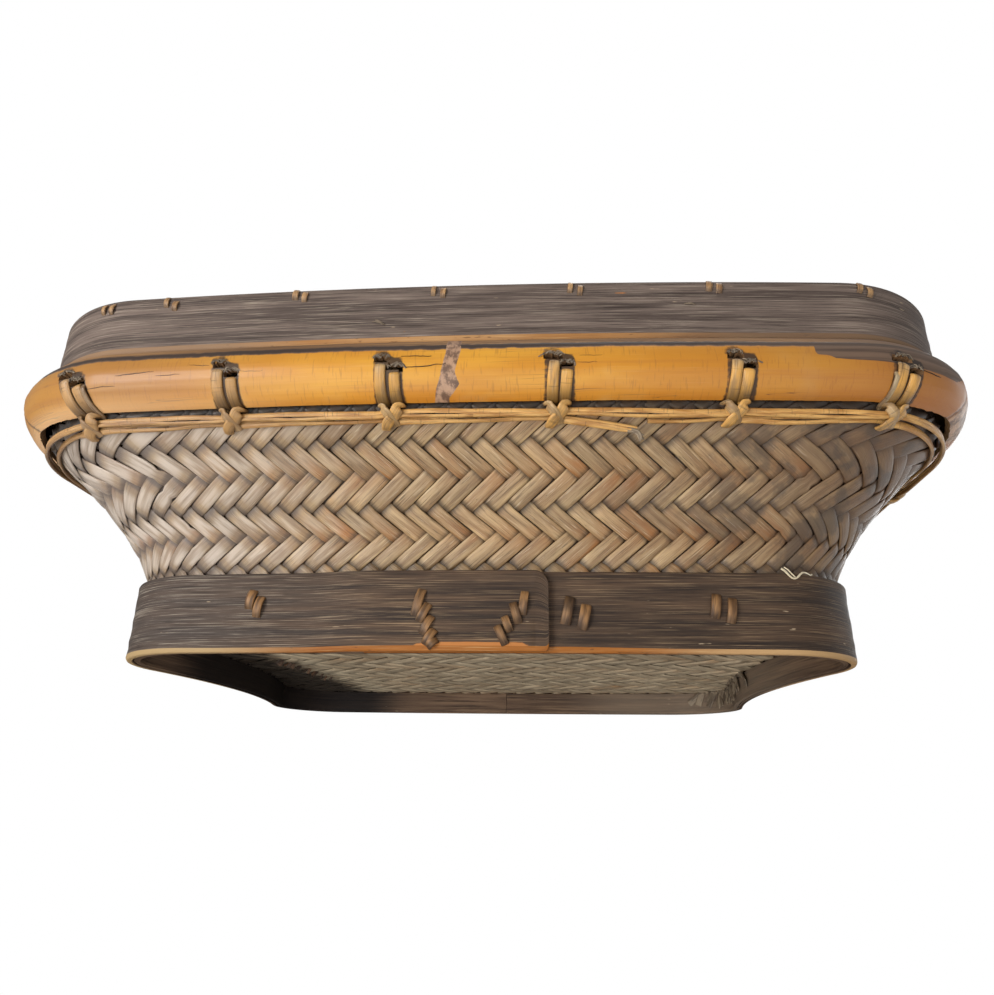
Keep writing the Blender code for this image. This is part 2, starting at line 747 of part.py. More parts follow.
def build_bowl(parts, material, wall_slots):
    """Woven wall and bottom in one shell, its outer face lofted from the rim down and across the bottom."""
    heights = [WALL_TOP, FLARE_TOP]
    for share in FLARE_SHARES:
        heights.append(FLARE_BOTTOM + (FLARE_TOP - FLARE_BOTTOM) * share)
    heights.append(FLOOR_BOTTOM + FLOOR_EDGE_RADIUS)
    rings = [wall_ring(height) for height in heights]
    edge = []
    for point, normal in FOOT_LOOP.pairs:
        flat = point - normal * (FOOT_INSET + FLOOR_EDGE_RADIUS)
        edge.append(Vector((flat.x, flat.y, FLOOR_BOTTOM)))
    rings.append(edge)
    middle = FLOOR_BOTTOM + FLOOR_RISE
    for share in FLOOR_SHARES:
        level = FLOOR_BOTTOM + (middle - FLOOR_BOTTOM) * (1 - share)
        rings.append([Vector((point.x * share, point.y * share, level)) for point in edge])
    for ring in rings:
        ring.reverse()
    mesh = lofted_mesh("woven_bowl", rings, False, True)
    mesh.shade_smooth()
    bowl = add_object("woven_bowl", mesh, material, parts)
    shell = bowl.modifiers.new("thickness", "SOLIDIFY")
    shell.thickness = WALL_THICKNESS
    shell.offset = -1.0
    shell.use_even_offset = True
    cut(bowl, wall_slots)


def build_rim(parts, rail_material, hoop_material, rail_holes, notches, collar_slots):
    points = hoop_points(RIM_LOOP, 0.0, GAP * 2)
    rail = add_object("rail", swept_mesh("rail", points, rail_section(), False), rail_material, parts)
    cut(rail, rail_holes)
    cut(rail, notches)
    outer = -(WALL_THICKNESS + GAP)
    section = band_section(outer - COLLAR_THICKNESS, outer, COLLAR_BOTTOM, COLLAR_TOP, HOOP_CHAMFER)
    collar = add_object("collar", swept_mesh("collar", points, section, False), hoop_material, parts)
    cut(collar, collar_slots)


def cane_swell(distance, holds):
    """How freely a running cane bows between two lashings: nothing at a lashing, one in the middle."""
    place = distance % RIM_LOOP.length
    following = [hold for hold in holds if hold > place]
    before = [hold for hold in holds if hold <= place]
    end = following[0] if following else holds[0] + RIM_LOOP.length
    start = before[-1] if before else holds[-1] - RIM_LOOP.length
    return math.sin(math.pi * (place - start) / (end - start))


def cane_points(level):
    """The upper cane is a closed ring. The lower one ends in a loose tail just past a front lashing."""
    holds = sorted(distance % RIM_LOOP.length for _, distance, _ in lashing_places())
    tail_start = TAIL_LASHING + RIM_LOOP.length
    start = 0.0 if level == 0 else TAIL_LASHING + CANE_TAIL + CANE_TAIL_GAP
    end = RIM_LOOP.length if level == 0 else tail_start + CANE_TAIL
    extra = []
    for index, hold in enumerate(holds):
        following = holds[(index + 1) % len(holds)]
        bay = (following - hold) % RIM_LOOP.length
        extra += [hold, hold + bay / 2]
    extra += [place + RIM_LOOP.length for place in extra]
    inside = [place for place in extra if start + CANE_RADIUS < place < end - CANE_RADIUS]
    places = RIM_LOOP.between(start, end, inside)
    if level == 0:
        places.pop()
    sign = 1 if level == 0 else -1
    points = []
    for distance in places:
        outward, height = cane_centres(distance)[level]
        spread = sign * CANE_SPREAD * cane_swell(distance, holds)
        drop = 0.0
        if level == 1 and distance > tail_start:
            drop = CANE_TAIL_DROP * (distance - tail_start) / CANE_TAIL
        points.append(offset_point(RIM_LOOP, distance, outward + abs(spread) / 2, height + spread - drop))
    return points


def build_canes(parts, material):
    for level, name in ((0, "running_cane_upper"), (1, "running_cane_lower")):
        curve = poly_curve(name, cane_points(level), level == 0)
        curve.bevel_depth = CANE_RADIUS
        curve.bevel_resolution = 1
        cane = bpy.data.objects.new(name + "_path", curve)
        bpy.context.scene.collection.objects.link(cane)
        add_object(name, mesh_from_curve(cane), material, parts)


def panel_share(ring, x, y):
    """Share of the way from the middle of a convex ring to its edge."""
    place = Vector((x, y))
    shares = []
    for index, point in enumerate(ring):
        edge = ring[(index + 1) % len(ring)] - point
        outward = Vector((edge.y, -edge.x))
        shares.append(outward.dot(place) / outward.dot(point))
    return max(shares)


def panel_level(share):
    """Height of the panel's top at a share of the way to its edge."""
    marks = (1.0, *LID_DOME_SHARES)
    levels = [LID_PANEL_TOP + LID_DOME_RISE * (1 - mark ** 2) for mark in marks]
    for outer, inner, low, high in zip(marks, marks[1:], levels, levels[1:]):
        if share >= inner:
            return low + (high - low) * (outer - share) / (outer - inner)
    return levels[-1]


def row_groove(name, ring, y):
    """A shallow V along X that follows the dome and runs out before the panel's edge."""
    inside, outside = 0.0, RIM_LENGTH / 2
    for _ in range(ROW_SEARCHES):
        middle = (inside + outside) / 2
        if panel_share(ring, middle, y) < ROW_REACH:
            inside = middle
        else:
            outside = middle
    half_top = ROW_GROOVE_HALF * (1 + CUTTER_SPARE / 2 / ROW_GROOVE_DEPTH)
    sections = []
    for step in range(ROW_STEPS + 1):
        x = inside * (2 * step / ROW_STEPS - 1)
        level = panel_level(panel_share(ring, x, y))
        top = level + CUTTER_SPARE / 2
        bottom = level - ROW_GROOVE_DEPTH if 0 < step < ROW_STEPS else level + CUTTER_SPARE / 4
        sections.append((Vector((x, y - half_top, top)), Vector((x, y, bottom)), Vector((x, y + half_top, top))))
    mesh = lofted_mesh(name, sections, True, True)
    finish_mesh(mesh)
    return mesh


def row_grooves(ring, group):
    """One cutter for all the rows that cross the panel."""
    grooves = []
    count = int(RIM_WIDTH / ROW_PITCH)
    for index in range(-count, count + 1):
        y = ROW_START + index * ROW_PITCH
        if panel_share(ring, 0.0, y) < ROW_REACH - ROW_PITCH / RIM_WIDTH:
            grooves.append(add_object("row_groove", row_groove("row_groove", ring, y), None, group))
    return join_cutters("panel_rows", grooves, group)


def build_lid(parts, cutters, band_material, panel_material):
    rise = LID_BAND_THICKNESS + GAP
    lap = LID_LAP_LENGTH / 2
    points = lapped_points(RIM_LOOP, -lap, lap, rise, True)
    outer = LID_BAND_EASE + LID_BAND_THICKNESS
    section = band_section(LID_BAND_EASE, outer, LID_SEAT, LID_TOP, BAND_CHAMFER)
    band = add_object("lid_band", swept_mesh("lid_band", points, section, False), band_material, parts)
    tip = RIM_LOOP.length / 2 + lap
    reach = rise + outer / 2
    cut(band, tip_cutter("lid_tip", RIM_LOOP, tip, LID_SEAT, LID_TOP, reach, cutters))
    face = LID_BAND_EASE - GAP
    heights = (
        (face, SKIRT_BOTTOM),
        (face, LID_PANEL_TOP - LID_PANEL_EDGE),
        (face - LID_PANEL_EDGE * 0.3, LID_PANEL_TOP - LID_PANEL_EDGE * 0.3),
        (face - LID_PANEL_EDGE, LID_PANEL_TOP),
    )
    rings = []
    for offset, height in heights:
        ring = []
        for point, normal in RIM_LOOP.pairs:
            flat = point + normal * offset
            ring.append(Vector((flat.x, flat.y, height)))
        rings.append(ring)
    rim_ring = rings[-1]
    for share in LID_DOME_SHARES:
        level = LID_PANEL_TOP + LID_DOME_RISE * (1 - share ** 2)
        rings.append([Vector((point.x * share, point.y * share, level)) for point in rim_ring])
    mesh = lofted_mesh("lid_panel", rings, False, True)
    mesh.shade_smooth()
    panel = add_object("lid_panel", mesh, panel_material, parts)
    shell = panel.modifiers.new("thickness", "SOLIDIFY")
    shell.thickness = LID_PANEL_THICKNESS
    shell.offset = -1.0
    shell.use_even_offset = True
    cut(panel, row_grooves([point.to_2d() for point in rim_ring], cutters))


def main():
    clear_scene()
    parts = make_collection("lidded_basket")
    cutters = make_collection("cutters")
    materials = {name: make_material(name) for name in FINISHES}
    rail_holes, collar_slots, wall_slots = build_lashings(parts, cutters, materials["lashing"])
    build_foot(parts, cutters, materials["dark_bamboo"], materials["pale_edge"])
    build_bowl(parts, materials["weave"], wall_slots)
    notches = notch_cutters(cutters)
    build_rim(parts, materials["rail"], materials["pale_edge"], rail_holes, notches, collar_slots)
    build_canes(parts, materials["cane"])
    build_lid(parts, cutters, materials["dark_bamboo"], materials["weave"])


main()
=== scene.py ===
"""Looks of the lidded bamboo basket: plaited strips, folded culm rail, lashings, bent bands and stitches."""
import math

import bmesh
import bpy
import numpy as np
from mathutils import Matrix, Vector


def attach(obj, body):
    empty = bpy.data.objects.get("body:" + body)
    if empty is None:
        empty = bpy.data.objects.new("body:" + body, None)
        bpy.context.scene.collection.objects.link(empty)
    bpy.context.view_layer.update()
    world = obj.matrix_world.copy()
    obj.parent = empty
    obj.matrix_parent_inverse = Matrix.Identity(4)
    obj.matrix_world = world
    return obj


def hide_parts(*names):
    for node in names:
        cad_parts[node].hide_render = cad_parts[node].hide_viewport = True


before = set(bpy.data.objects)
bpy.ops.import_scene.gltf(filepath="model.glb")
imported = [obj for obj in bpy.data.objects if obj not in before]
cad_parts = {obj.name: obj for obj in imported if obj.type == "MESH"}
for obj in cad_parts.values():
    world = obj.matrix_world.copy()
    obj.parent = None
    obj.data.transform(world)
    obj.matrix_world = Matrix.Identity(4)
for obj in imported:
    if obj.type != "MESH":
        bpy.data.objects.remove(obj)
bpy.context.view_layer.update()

RNG = np.random.default_rng(7)
draw = RNG.uniform

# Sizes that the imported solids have, in metres
GAP = 0.0003
# Oval plans: half length, half width, then the radii of the corner, the short side and the long side
RIM = (0.2120, 0.1825, 0.0585, 4.0, 2.65)
FOOT = (0.1574, 0.1468, 0.0453, -0.389, 2.5)
# Stations on the three arcs of a quarter plan, on the quarter and on the whole plan
STEPS = (2, 7, 3)
QUARTER_STATIONS = 12
STATIONS = 48.0
FLARE_BOTTOM = 0.0346
FLARE_TOP = 0.0940
FLARE_POWER = 1.45
FOOT_INSET = 0.0033
WALL_THICKNESS = 0.0024
FLOOR_BOTTOM = 0.0153
FLOOR_RISE = 0.0020
RAIL_BOTTOM = 0.0950
RAIL_HEIGHT = 0.0290
RAIL_HALF = RAIL_HEIGHT / 2
RAIL_DEPTH = 0.0128
RAIL_WALL = 0.0033
RAIL_CENTRE = RAIL_BOTTOM + RAIL_HALF
RAIL_TOP = RAIL_BOTTOM + RAIL_HEIGHT
COLLAR_THICKNESS = 0.0028
FOOT_HEIGHT = 0.0343
BAND_THICKNESS = 0.0030
HOOP_HEIGHT = 0.0150
HOOP_THICKNESS = 0.0030
LID_BAND_THICKNESS = 0.0042
LID_BAND_INNER = 0.0002
LID_BAND_OUTER = LID_BAND_INNER + LID_BAND_THICKNESS
LID_SEAT = RAIL_TOP + GAP
LID_TOP = LID_SEAT + 0.0278
PANEL_TOP = LID_TOP - 0.0007
PANEL_EDGE = 0.0030
SKIRT_BOTTOM = PANEL_TOP - PANEL_EDGE - 0.0110
DOME_RISE = 0.0060


# ---------------------------------------------------------------- plans
def plan_arcs(plan):
    """Centre, radius, first and last angle of the three arcs in a quarter plan."""
    half_x, half_y, corner, short, long = plan
    sx, ly = half_x - short, half_y - long
    to_short, to_long, span = abs(short - corner), abs(long - corner), math.hypot(sx, ly)
    along = (to_short ** 2 - to_long ** 2 + span ** 2) / (2 * span)
    across = math.sqrt(to_short ** 2 - along ** 2)
    ux, uy = -sx / span, ly / span
    found = [(sx + along * ux - side * across * uy, along * uy + side * across * ux) for side in (1, -1)]
    middle = min(point for point in found if min(point) > 0)
    out = 1 if short > corner else -1
    first = math.atan2(out * middle[1], out * (middle[0] - sx))
    second = math.atan2(middle[1] - ly, middle[0])
    return ((sx, 0.0), short, 0.0, first), (middle, corner, first, second), ((0.0, ly), long, second, math.pi / 2)


def plan_at(plan, q):
    """Points and outward normals at stations 0 to 48, from the front centre towards +X."""
    q = np.mod(np.asarray(q, float), STATIONS)
    quad = np.floor(q / QUARTER_STATIONS).astype(int) % 4
    t = np.choose(quad, [12 - q, q - 12, 36 - q, q - 36])
    sign = np.stack([np.choose(quad, [1, 1, -1, -1]), np.choose(quad, [-1, 1, 1, -1])], -1)
    points, normals = np.zeros(q.shape + (2,)), np.zeros(q.shape + (2,))
    low = 0
    for (centre, radius, start, end), count in zip(plan_arcs(plan), STEPS):
        high = low + count
        inside = (t >= low) & ((t < high) | (high == QUARTER_STATIONS))
        angle = start + (end - start) * (t - low) / count
        normal = np.stack([np.cos(angle), np.sin(angle)], -1)
        points[inside] = (np.array(centre) + radius * normal)[inside]
        normals[inside] = normal[inside]
        low = high
    return points * sign, normals * sign


def lengths(points):
    """How far each point lies along a path."""
    return np.r_[0, np.cumsum(np.linalg.norm(np.diff(points, axis=0), axis=-1))]


class Loop:
    """A closed plan measured by its length from the front centre."""

    def __init__(self, plan):
        self.plan = plan
        self.q = np.linspace(0, STATIONS, 4801)
        self.s = lengths(plan_at(plan, self.q)[0])
        self.length = self.s[-1]

    def station(self, s):
        return np.interp(np.mod(s, self.length), self.s, self.q)

    def at(self, s):
        return plan_at(self.plan, self.station(s))

    def points(self, s, out, z):
        """Points at lengths s, moved outwards, at heights z. The arguments broadcast."""
        s, out, z = np.broadcast_arrays(s, out, z)
        flat, normal = self.at(s)
        return np.concatenate([flat + normal * out[..., None], z[..., None]], -1)

    def hint(self, s, up=0.0, out=1.0):
        """The way that a strap's outer side faces at lengths s."""
        up, out = (np.broadcast_to(value, s.shape)[:, None] for value in (up, out))
        return np.concatenate([self.at(s)[1] * out, up], -1)

    def signed(self, s, mark=0.0):
        """Length from a mark, between minus and plus half the loop."""
        half = self.length / 2
        return np.mod(np.asarray(s) - mark + half, self.length) - half


RIM_LOOP = Loop(RIM)
FOOT_LOOP = Loop(FOOT)
QUARTER = RIM_LOOP.length / 4
BACK = 2 * QUARTER
signed = RIM_LOOP.signed


def flare(z):
    """How far a height lies on the way from the foot's plan (0) to the rim's (1)."""
    return np.clip((np.asarray(z, float) - FLARE_BOTTOM) / (FLARE_TOP - FLARE_BOTTOM), 0, 1) ** FLARE_POWER


def wall_face(q, z):
    """Outer face of the woven wall."""
    foot, foot_normal = plan_at(FOOT, q)
    rim, _ = plan_at(RIM, q)
    z = np.asarray(z, float) + np.zeros(foot.shape[:-1])
    share = flare(z)[..., None]
    return np.concatenate([(foot - foot_normal * FOOT_INSET) * (1 - share) + rim * share, z[..., None]], -1)


def wall_inset(s, z):
    """How far the wall's outer face lies inside the rim line."""
    q = RIM_LOOP.station(s)
    rim, normal = plan_at(RIM, q)
    return ((rim - wall_face(q, z)[..., :2]) * normal).sum(-1)


# ---------------------------------------------------------------- curves
def smooth(x, low=0.0, high=1.0):
    """Climbs from 0 at low to 1 at high."""
    x = np.clip((np.asarray(x, float) - low) / (high - low), 0, 1)
    return x * x * (3 - 2 * x)


def between(x, rise, fall):
    """Climbs from 0 to 1 over rise, and back to 0 over fall."""
    return smooth(x, *rise) * (1 - smooth(x, *fall))


def near(x, reach, power=1):
    """1 at nought, falling to 0 where x is as far off as reach."""
    return np.clip(1 - (np.abs(x) / reach) ** power, 0, 1)


def wander(count, step, size, closed=False):
    """A smooth random line of a given size: one free value every few entries."""
    values = RNG.normal(0, 1, max(int(count / step), 3) + (not closed))
    if closed:
        values = np.r_[values, values[0]]
    return size * np.interp(np.linspace(0, len(values) - 1, count), np.arange(len(values)), values)


def rounded(points, passes=3):
    """Cuts a path's corners, keeping its ends."""
    points = np.asarray(points, float)
    for _ in range(passes):
        first = points[:-1] * 0.75 + points[1:] * 0.25
        second = points[:-1] * 0.25 + points[1:] * 0.75
        inner = np.stack([first, second], 1).reshape(-1, points.shape[1])
        points = np.concatenate([points[:1], inner[1:-1], points[-1:]])
    return points


def unit(vectors):
    """The same directions, with length 1."""
    return vectors / np.linalg.norm(vectors, axis=-1, keepdims=True)


# ---------------------------------------------------------------- meshes
def add_object(name, data):
    thing = bpy.data.objects.new(name, data)
    bpy.context.scene.collection.objects.link(thing)
    return thing


class Soup:
    """Collects strips, each a grid of sections along a path, into one mesh."""

    def __init__(self):
        self.verts, self.faces, self.uvs, self.mats, self.marks, self.count = [], [], [], [], {}, 0

    def add(self, rows, along, across, loop=False, mats=None, mat=0, cap_mat=None, skip=None, **marks):
        """rows[n, m] are closed sections; along has a length for each, across one for each side plus one."""
        n, m, _ = rows.shape
        base = self.count
        self.verts.append(rows.reshape(-1, 3))
        self.count += n * m
        i, j = np.meshgrid(np.arange(n if loop else n - 1), np.arange(m), indexing="ij")
        keep = np.ones(i.shape, bool) if skip is None else ~skip
        i, j = i[keep], j[keep]
        i2, j2 = (i + 1) % n, (j + 1) % m
        self.faces += (np.stack([i * m + j, i2 * m + j, i2 * m + j2, i * m + j2], -1) + base).tolist()
        corners = ((i, j), (i + 1, j), (i + 1, j + 1), (i, j + 1))
        self.uvs.append(np.stack([np.stack([along[a], across[b]], -1) for a, b in corners], 1).reshape(-1, 2))
        self.mats.append(np.full(len(i), mat) if mats is None else np.asarray(mats)[j])
        for row in () if loop else (0, n - 1):
            self.faces.append((np.arange(m) + row * m + base).tolist())
            self.uvs.append(np.stack([np.full(m, along[row]), across[:m]], -1))
            self.mats.append(np.array([mat if cap_mat is None else cap_mat]))
        for name, value in marks.items():
            value = np.asarray(value, float)
            value = value[:, None] if value.ndim == 1 else value
            self.marks.setdefault(name, []).append(np.broadcast_to(value, (n, m)).reshape(-1))

    def build(self, name, materials, node=None, body="basket", sharp=60):
        """Makes the visible piece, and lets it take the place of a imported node."""
        mesh = bpy.data.meshes.new(name)
        mesh.from_pydata(np.concatenate(self.verts).tolist(), [], self.faces)
        uvs = np.concatenate(self.uvs).astype(np.float32).reshape(-1)
        mesh.uv_layers.new(name="flow").data.foreach_set("uv", uvs)
        mesh.polygons.foreach_set("material_index", np.concatenate(self.mats).astype(np.int32))
        for key, values in self.marks.items():
            mark = mesh.attributes.new(key, "FLOAT", "POINT")
            mark.data.foreach_set("value", np.concatenate(values).astype(np.float32))
        for material in materials:
            mesh.materials.append(material)
        shape = bmesh.new()
        shape.from_mesh(mesh)
        bmesh.ops.recalc_face_normals(shape, faces=shape.faces)
        shape.to_mesh(mesh)
        shape.free()
        mesh.shade_smooth()
        mesh.set_sharp_from_angle(angle=math.radians(sharp))
        piece = add_object(name, mesh)
        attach(piece, body)
        if node:
            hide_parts(node)


def strap(soup, points, hint, half_width, half_thick, section, closed=False, start=0.0, **options):
    """Sweeps a section, given as shares of the half width and half thickness, along a path."""
    tangent = unit(np.roll(points, -1, 0) - np.roll(points, 1, 0) if closed else np.gradient(points, axis=0))
    lift = unit(hint - (hint * tangent).sum(-1, keepdims=True) * tangent)
    side = np.cross(lift, tangent)
    size = len(points)
    width, thick = (np.broadcast_to(np.asarray(value, float), size)[:, None] for value in (half_width, half_thick))
    across, up = np.asarray(section, float).T
    rows = points[:, None] + side[:, None] * (width * across)[..., None] + lift[:, None] * (thick * up)[..., None]
    sides = np.r_[across, across[0]] * float(width.mean())
    run = lengths(points)
    if closed:
        run = np.r_[run, run[-1] + np.linalg.norm(points[0] - points[-1])]
    soup.add(rows, run + start, np.r_[0, np.cumsum(np.abs(np.diff(sides)) + 0.0003)], loop=closed, **options)


def even(*left, flat=((0.8, -1), (-0.8, -1))):
    """A section with the same outline at its right as at its left, and the given underside."""
    right = [(-x, y) for x, y in reversed(left) if x]
    return (*left, *right, *flat)


STRIP = even((-1, -0.3), (-1, 0.35), (-0.86, 0.85), (-0.3, 1))
CROWN = even((-1, -0.4), (-1, 0.05), (-0.93, 0.45), (-0.62, 0.84), (0, 1))
PLAIN_STRIP = even((-1, 0), (-0.84, 0.9), (0, 1))
LENS = even((-1, 0), (-0.8, 0.55), (-0.4, 0.9), (0, 1), flat=((0.6, -0.7), (0, -1), (-0.6, -0.7)))
UPPER_SPLIT = ((-1, -0.4), (-1, 0.8), (-0.6, 0.98), (0.1, 0.94), (0.7, 0.62), (1, 0), (0.6, -0.7), (-0.4, -1))
LOWER_SPLIT = ((-1, 0), (-0.7, 0.62), (-0.1, 0.94), (0.6, 0.98), (1, 0.8), (1, -0.4), (0.4, -1), (-0.6, -0.7))

# ---------------------------------------------------------------- materials
# Width of the darker strip along the rail's top, round the oval
TOP_STRIP = 0.0175


def srgb(red, green, blue):
    return tuple(((c / 255 + 0.055) / 1.055) ** 2.4 if c > 10 else c / 3294.6 for c in (red, green, blue))


class Value:
    """A node's output that can stand in a sum."""

    def __init__(self, tree, socket):
        self.tree, self.socket = tree, socket

    def __add__(self, other):
        return self.tree.math("ADD", self, other)

    def __radd__(self, other):
        return self.tree.math("ADD", other, self)

    def __sub__(self, other):
        return self.tree.math("SUBTRACT", self, other)

    def __rsub__(self, other):
        return self.tree.math("SUBTRACT", other, self)

    def __mul__(self, other):
        return self.tree.math("MULTIPLY", self, other)


class Tree:
    """The nodes of a material or of the world."""

    def __init__(self, owner):
        owner.use_nodes = True
        self.tree = owner.node_tree

    def feed(self, socket, value):
        if isinstance(value, Value):
            self.tree.links.new(value.socket, socket)
        else:
            socket.default_value = value

    def node(self, kind, values=None, output=0, **settings):
        node = self.tree.nodes.new("ShaderNode" + kind)
        for key, value in settings.items():
            setattr(node, key, value)
        for key, value in (values or {}).items():
            self.feed(node.inputs[key], value)
        return Value(self, node.outputs[output])

    def math(self, operation, *values):
        return self.node("Math", dict(enumerate(values)), operation=operation)


class Shade(Tree):
    """A node material round a Principled shader. body is its colour so far; seed shifts the grain of each strip."""

    def __init__(self, name, **fixed):
        self.mat = bpy.data.materials.new(name)
        super().__init__(self.mat)
        self.shader = self.tree.nodes["Principled BSDF"]
        self.body = self.seed = None
        for key, value in fixed.items():
            self.shader.inputs[key.replace("_", " ")].default_value = value

    def mix(self, share, first, second, kind="MIX"):
        """Mixes two colours: a tuple is a screen colour of 0 to 255."""
        first, second = ((*srgb(*c), 1.0) if isinstance(c, tuple) else c for c in (first, second))
        return self.node("Mix", {0: share, 6: first, 7: second}, 2, data_type="RGBA", blend_type=kind)

    def over(self, share, colour, kind="MIX"):
        """Lays a colour over the body."""
        self.body = self.mix(share, self.body, colour, kind)

    def coat(self, colour, *climb):
        """Lays a colour over the body as far as a ramp says."""
        self.over(self.ramp(*climb), colour)

    def dim(self, level):
        self.over(1, self.node("CombineColor", {0: level, 1: level, 2: level}), "MULTIPLY")

    def ramp(self, value, low, high, top=1, base=0):
        """Rises from base at low to top at high."""
        return self.node("MapRange", {0: value, 1: low, 2: high, 3: base, 4: top}, interpolation_type="SMOOTHSTEP")

    def mark(self, name):
        return self.node("Attribute", output="Fac", attribute_name=name)

    def place(self):
        """Coordinates in the piece's own space, which is the part's frame at rest and moves with the lid."""
        return self.node("TexCoord", output="Object")

    def axis(self, index):
        return self.node("SeparateXYZ", {0: self.place()}, index)

    def noise(self, vector, scale, detail=2, rough=0.5, distortion=0):
        values = {"Vector": vector, "Scale": scale, "Detail": detail, "Roughness": rough, "Distortion": distortion}
        return self.node("TexNoise", values, "Fac")

    def grain(self, along, across, detail=2, rough=0.5, distortion=0):
        """Noise that runs along the strip: periods per metre each way."""
        flow = self.node("UVMap", uv_map="flow")
        flow = self.node("VectorMath", {0: flow, 1: (along, across, 1)}, operation="MULTIPLY")
        if self.seed:
            shift = self.node("CombineXYZ", {0: self.seed, 1: self.seed * 7.3, 2: self.seed * 31})
            flow = self.node("VectorMath", {0: flow, 1: shift}, operation="ADD")
        return self.noise(flow, 1, detail, rough, distortion)

    def finish(self, roughness, height, strength, distance):
        bump = self.node("Bump", {"Strength": strength, "Distance": distance, "Height": height})
        for key, value in (("Base Color", self.body), ("Roughness", roughness), ("Normal", bump)):
            self.feed(self.shader.inputs[key], value)
        return self.mat


def weave_material(name, pale, deep, warm, dark, warm_share=1.0, shaded=False, painted_shading=False):
    """Split bamboo strips: fine lengthwise fibres, each float with its own tone, painted shade where strips dive under
    each other.
    """
    s = Shade(name, Coat_Weight=0.12, Coat_Roughness=0.24)
    tone, s.seed = s.mark("tone"), s.mark("seed")
    fine = s.grain(55, 2400, 3, 0.65)
    broad = s.grain(45, 420, 2, 0.5)
    patch = s.noise(s.place(), 26, 2, 0.5)
    s.body = s.mix(s.ramp(broad, 0.28, 0.72), deep, pale)
    s.over(s.ramp(patch, 0.45, 0.75) * 0.4, deep)
    s.over(s.mark("warm") * s.ramp(s.grain(60, 200, 1), 0.3, 0.62, warm_share, 0.25), warm)
    s.dim(tone * 0.46 + 0.74)
    crisp = s.grain(80, 1250, 2, 0.7)
    s.coat(dark, crisp, 0.41, 0.27, 0.55)
    s.coat((230, 210, 176), crisp, 0.6, 0.74, 0.5)
    s.coat(dark, fine, 0.46, 0.32, 0.55)
    s.coat((222, 202, 168), fine, 0.58, 0.74, 0.42)
    flecks = s.grain(240, 1500, 2, 0.6)
    s.coat(dark, flecks, 0.68, 0.76, 0.55)
    # Painted shade where a strip dives under its neighbours and towards each float's ends
    s.over((1 - s.ramp(s.mark("depth"), 0.05, 0.85)) * 0.9, dark)
    if shaded:
        # Towards the left a painted sheen turns the floats greyer
        s.coat((146, 134, 124), s.axis(0), -0.03, -0.2, 0.62)
        # At the left a painted highlight lies along the floats' crowns, and painted shade darkens them towards their
        # ends
        left_painted_light = s.ramp(s.axis(0), -0.02, -0.15)
        ends = s.ramp(s.mark("depth"), 0.94, 0.5, 0.62) * left_painted_light
        s.over(ends, (84, 72, 66))
        crown_highlight = s.ramp(s.mark("depth"), 0.86, 1) * s.ramp(broad, 0.36, 0.6, 0.62, 0.15)
        s.over(crown_highlight * left_painted_light, (212, 198, 184))
        # The right end of the wall is browner and darker in painted shade, with mottled grime there, and painted shade
        # lies under the rim
        x, z = s.axis(0), s.axis(2)
        s.coat((90, 65, 46), x, 0.05, 0.2, 0.9)
        grime = s.ramp(s.noise(s.place(), 62, 4, 0.62), 0.47, 0.6)
        s.over(grime * s.ramp(x, 0.04, 0.15, 0.62), (66, 57, 50))
        s.coat((34, 27, 23), z, 0.0905, 0.0945, 0.86)
    if painted_shading:
        # Painted shadow of the foot's left wall over the bottom's left part, with a paler band along its edge
        x, y = s.axis(0), s.axis(1)
        edge = x + (broad - 0.5) * 0.026 - y * 0.1
        s.over(s.ramp(edge, -0.12, -0.112) * s.ramp(edge, -0.096, -0.108, 0.4), (206, 190, 160))
        s.coat((28, 22, 21), edge, -0.106, -0.134, 0.92)
    rough = broad * 0.22 + 0.32
    if shaded:
        rough = rough - s.ramp(x, -0.05, -0.17, 0.12)
    return s.finish(rough, fine, 0.6, 0.00035)


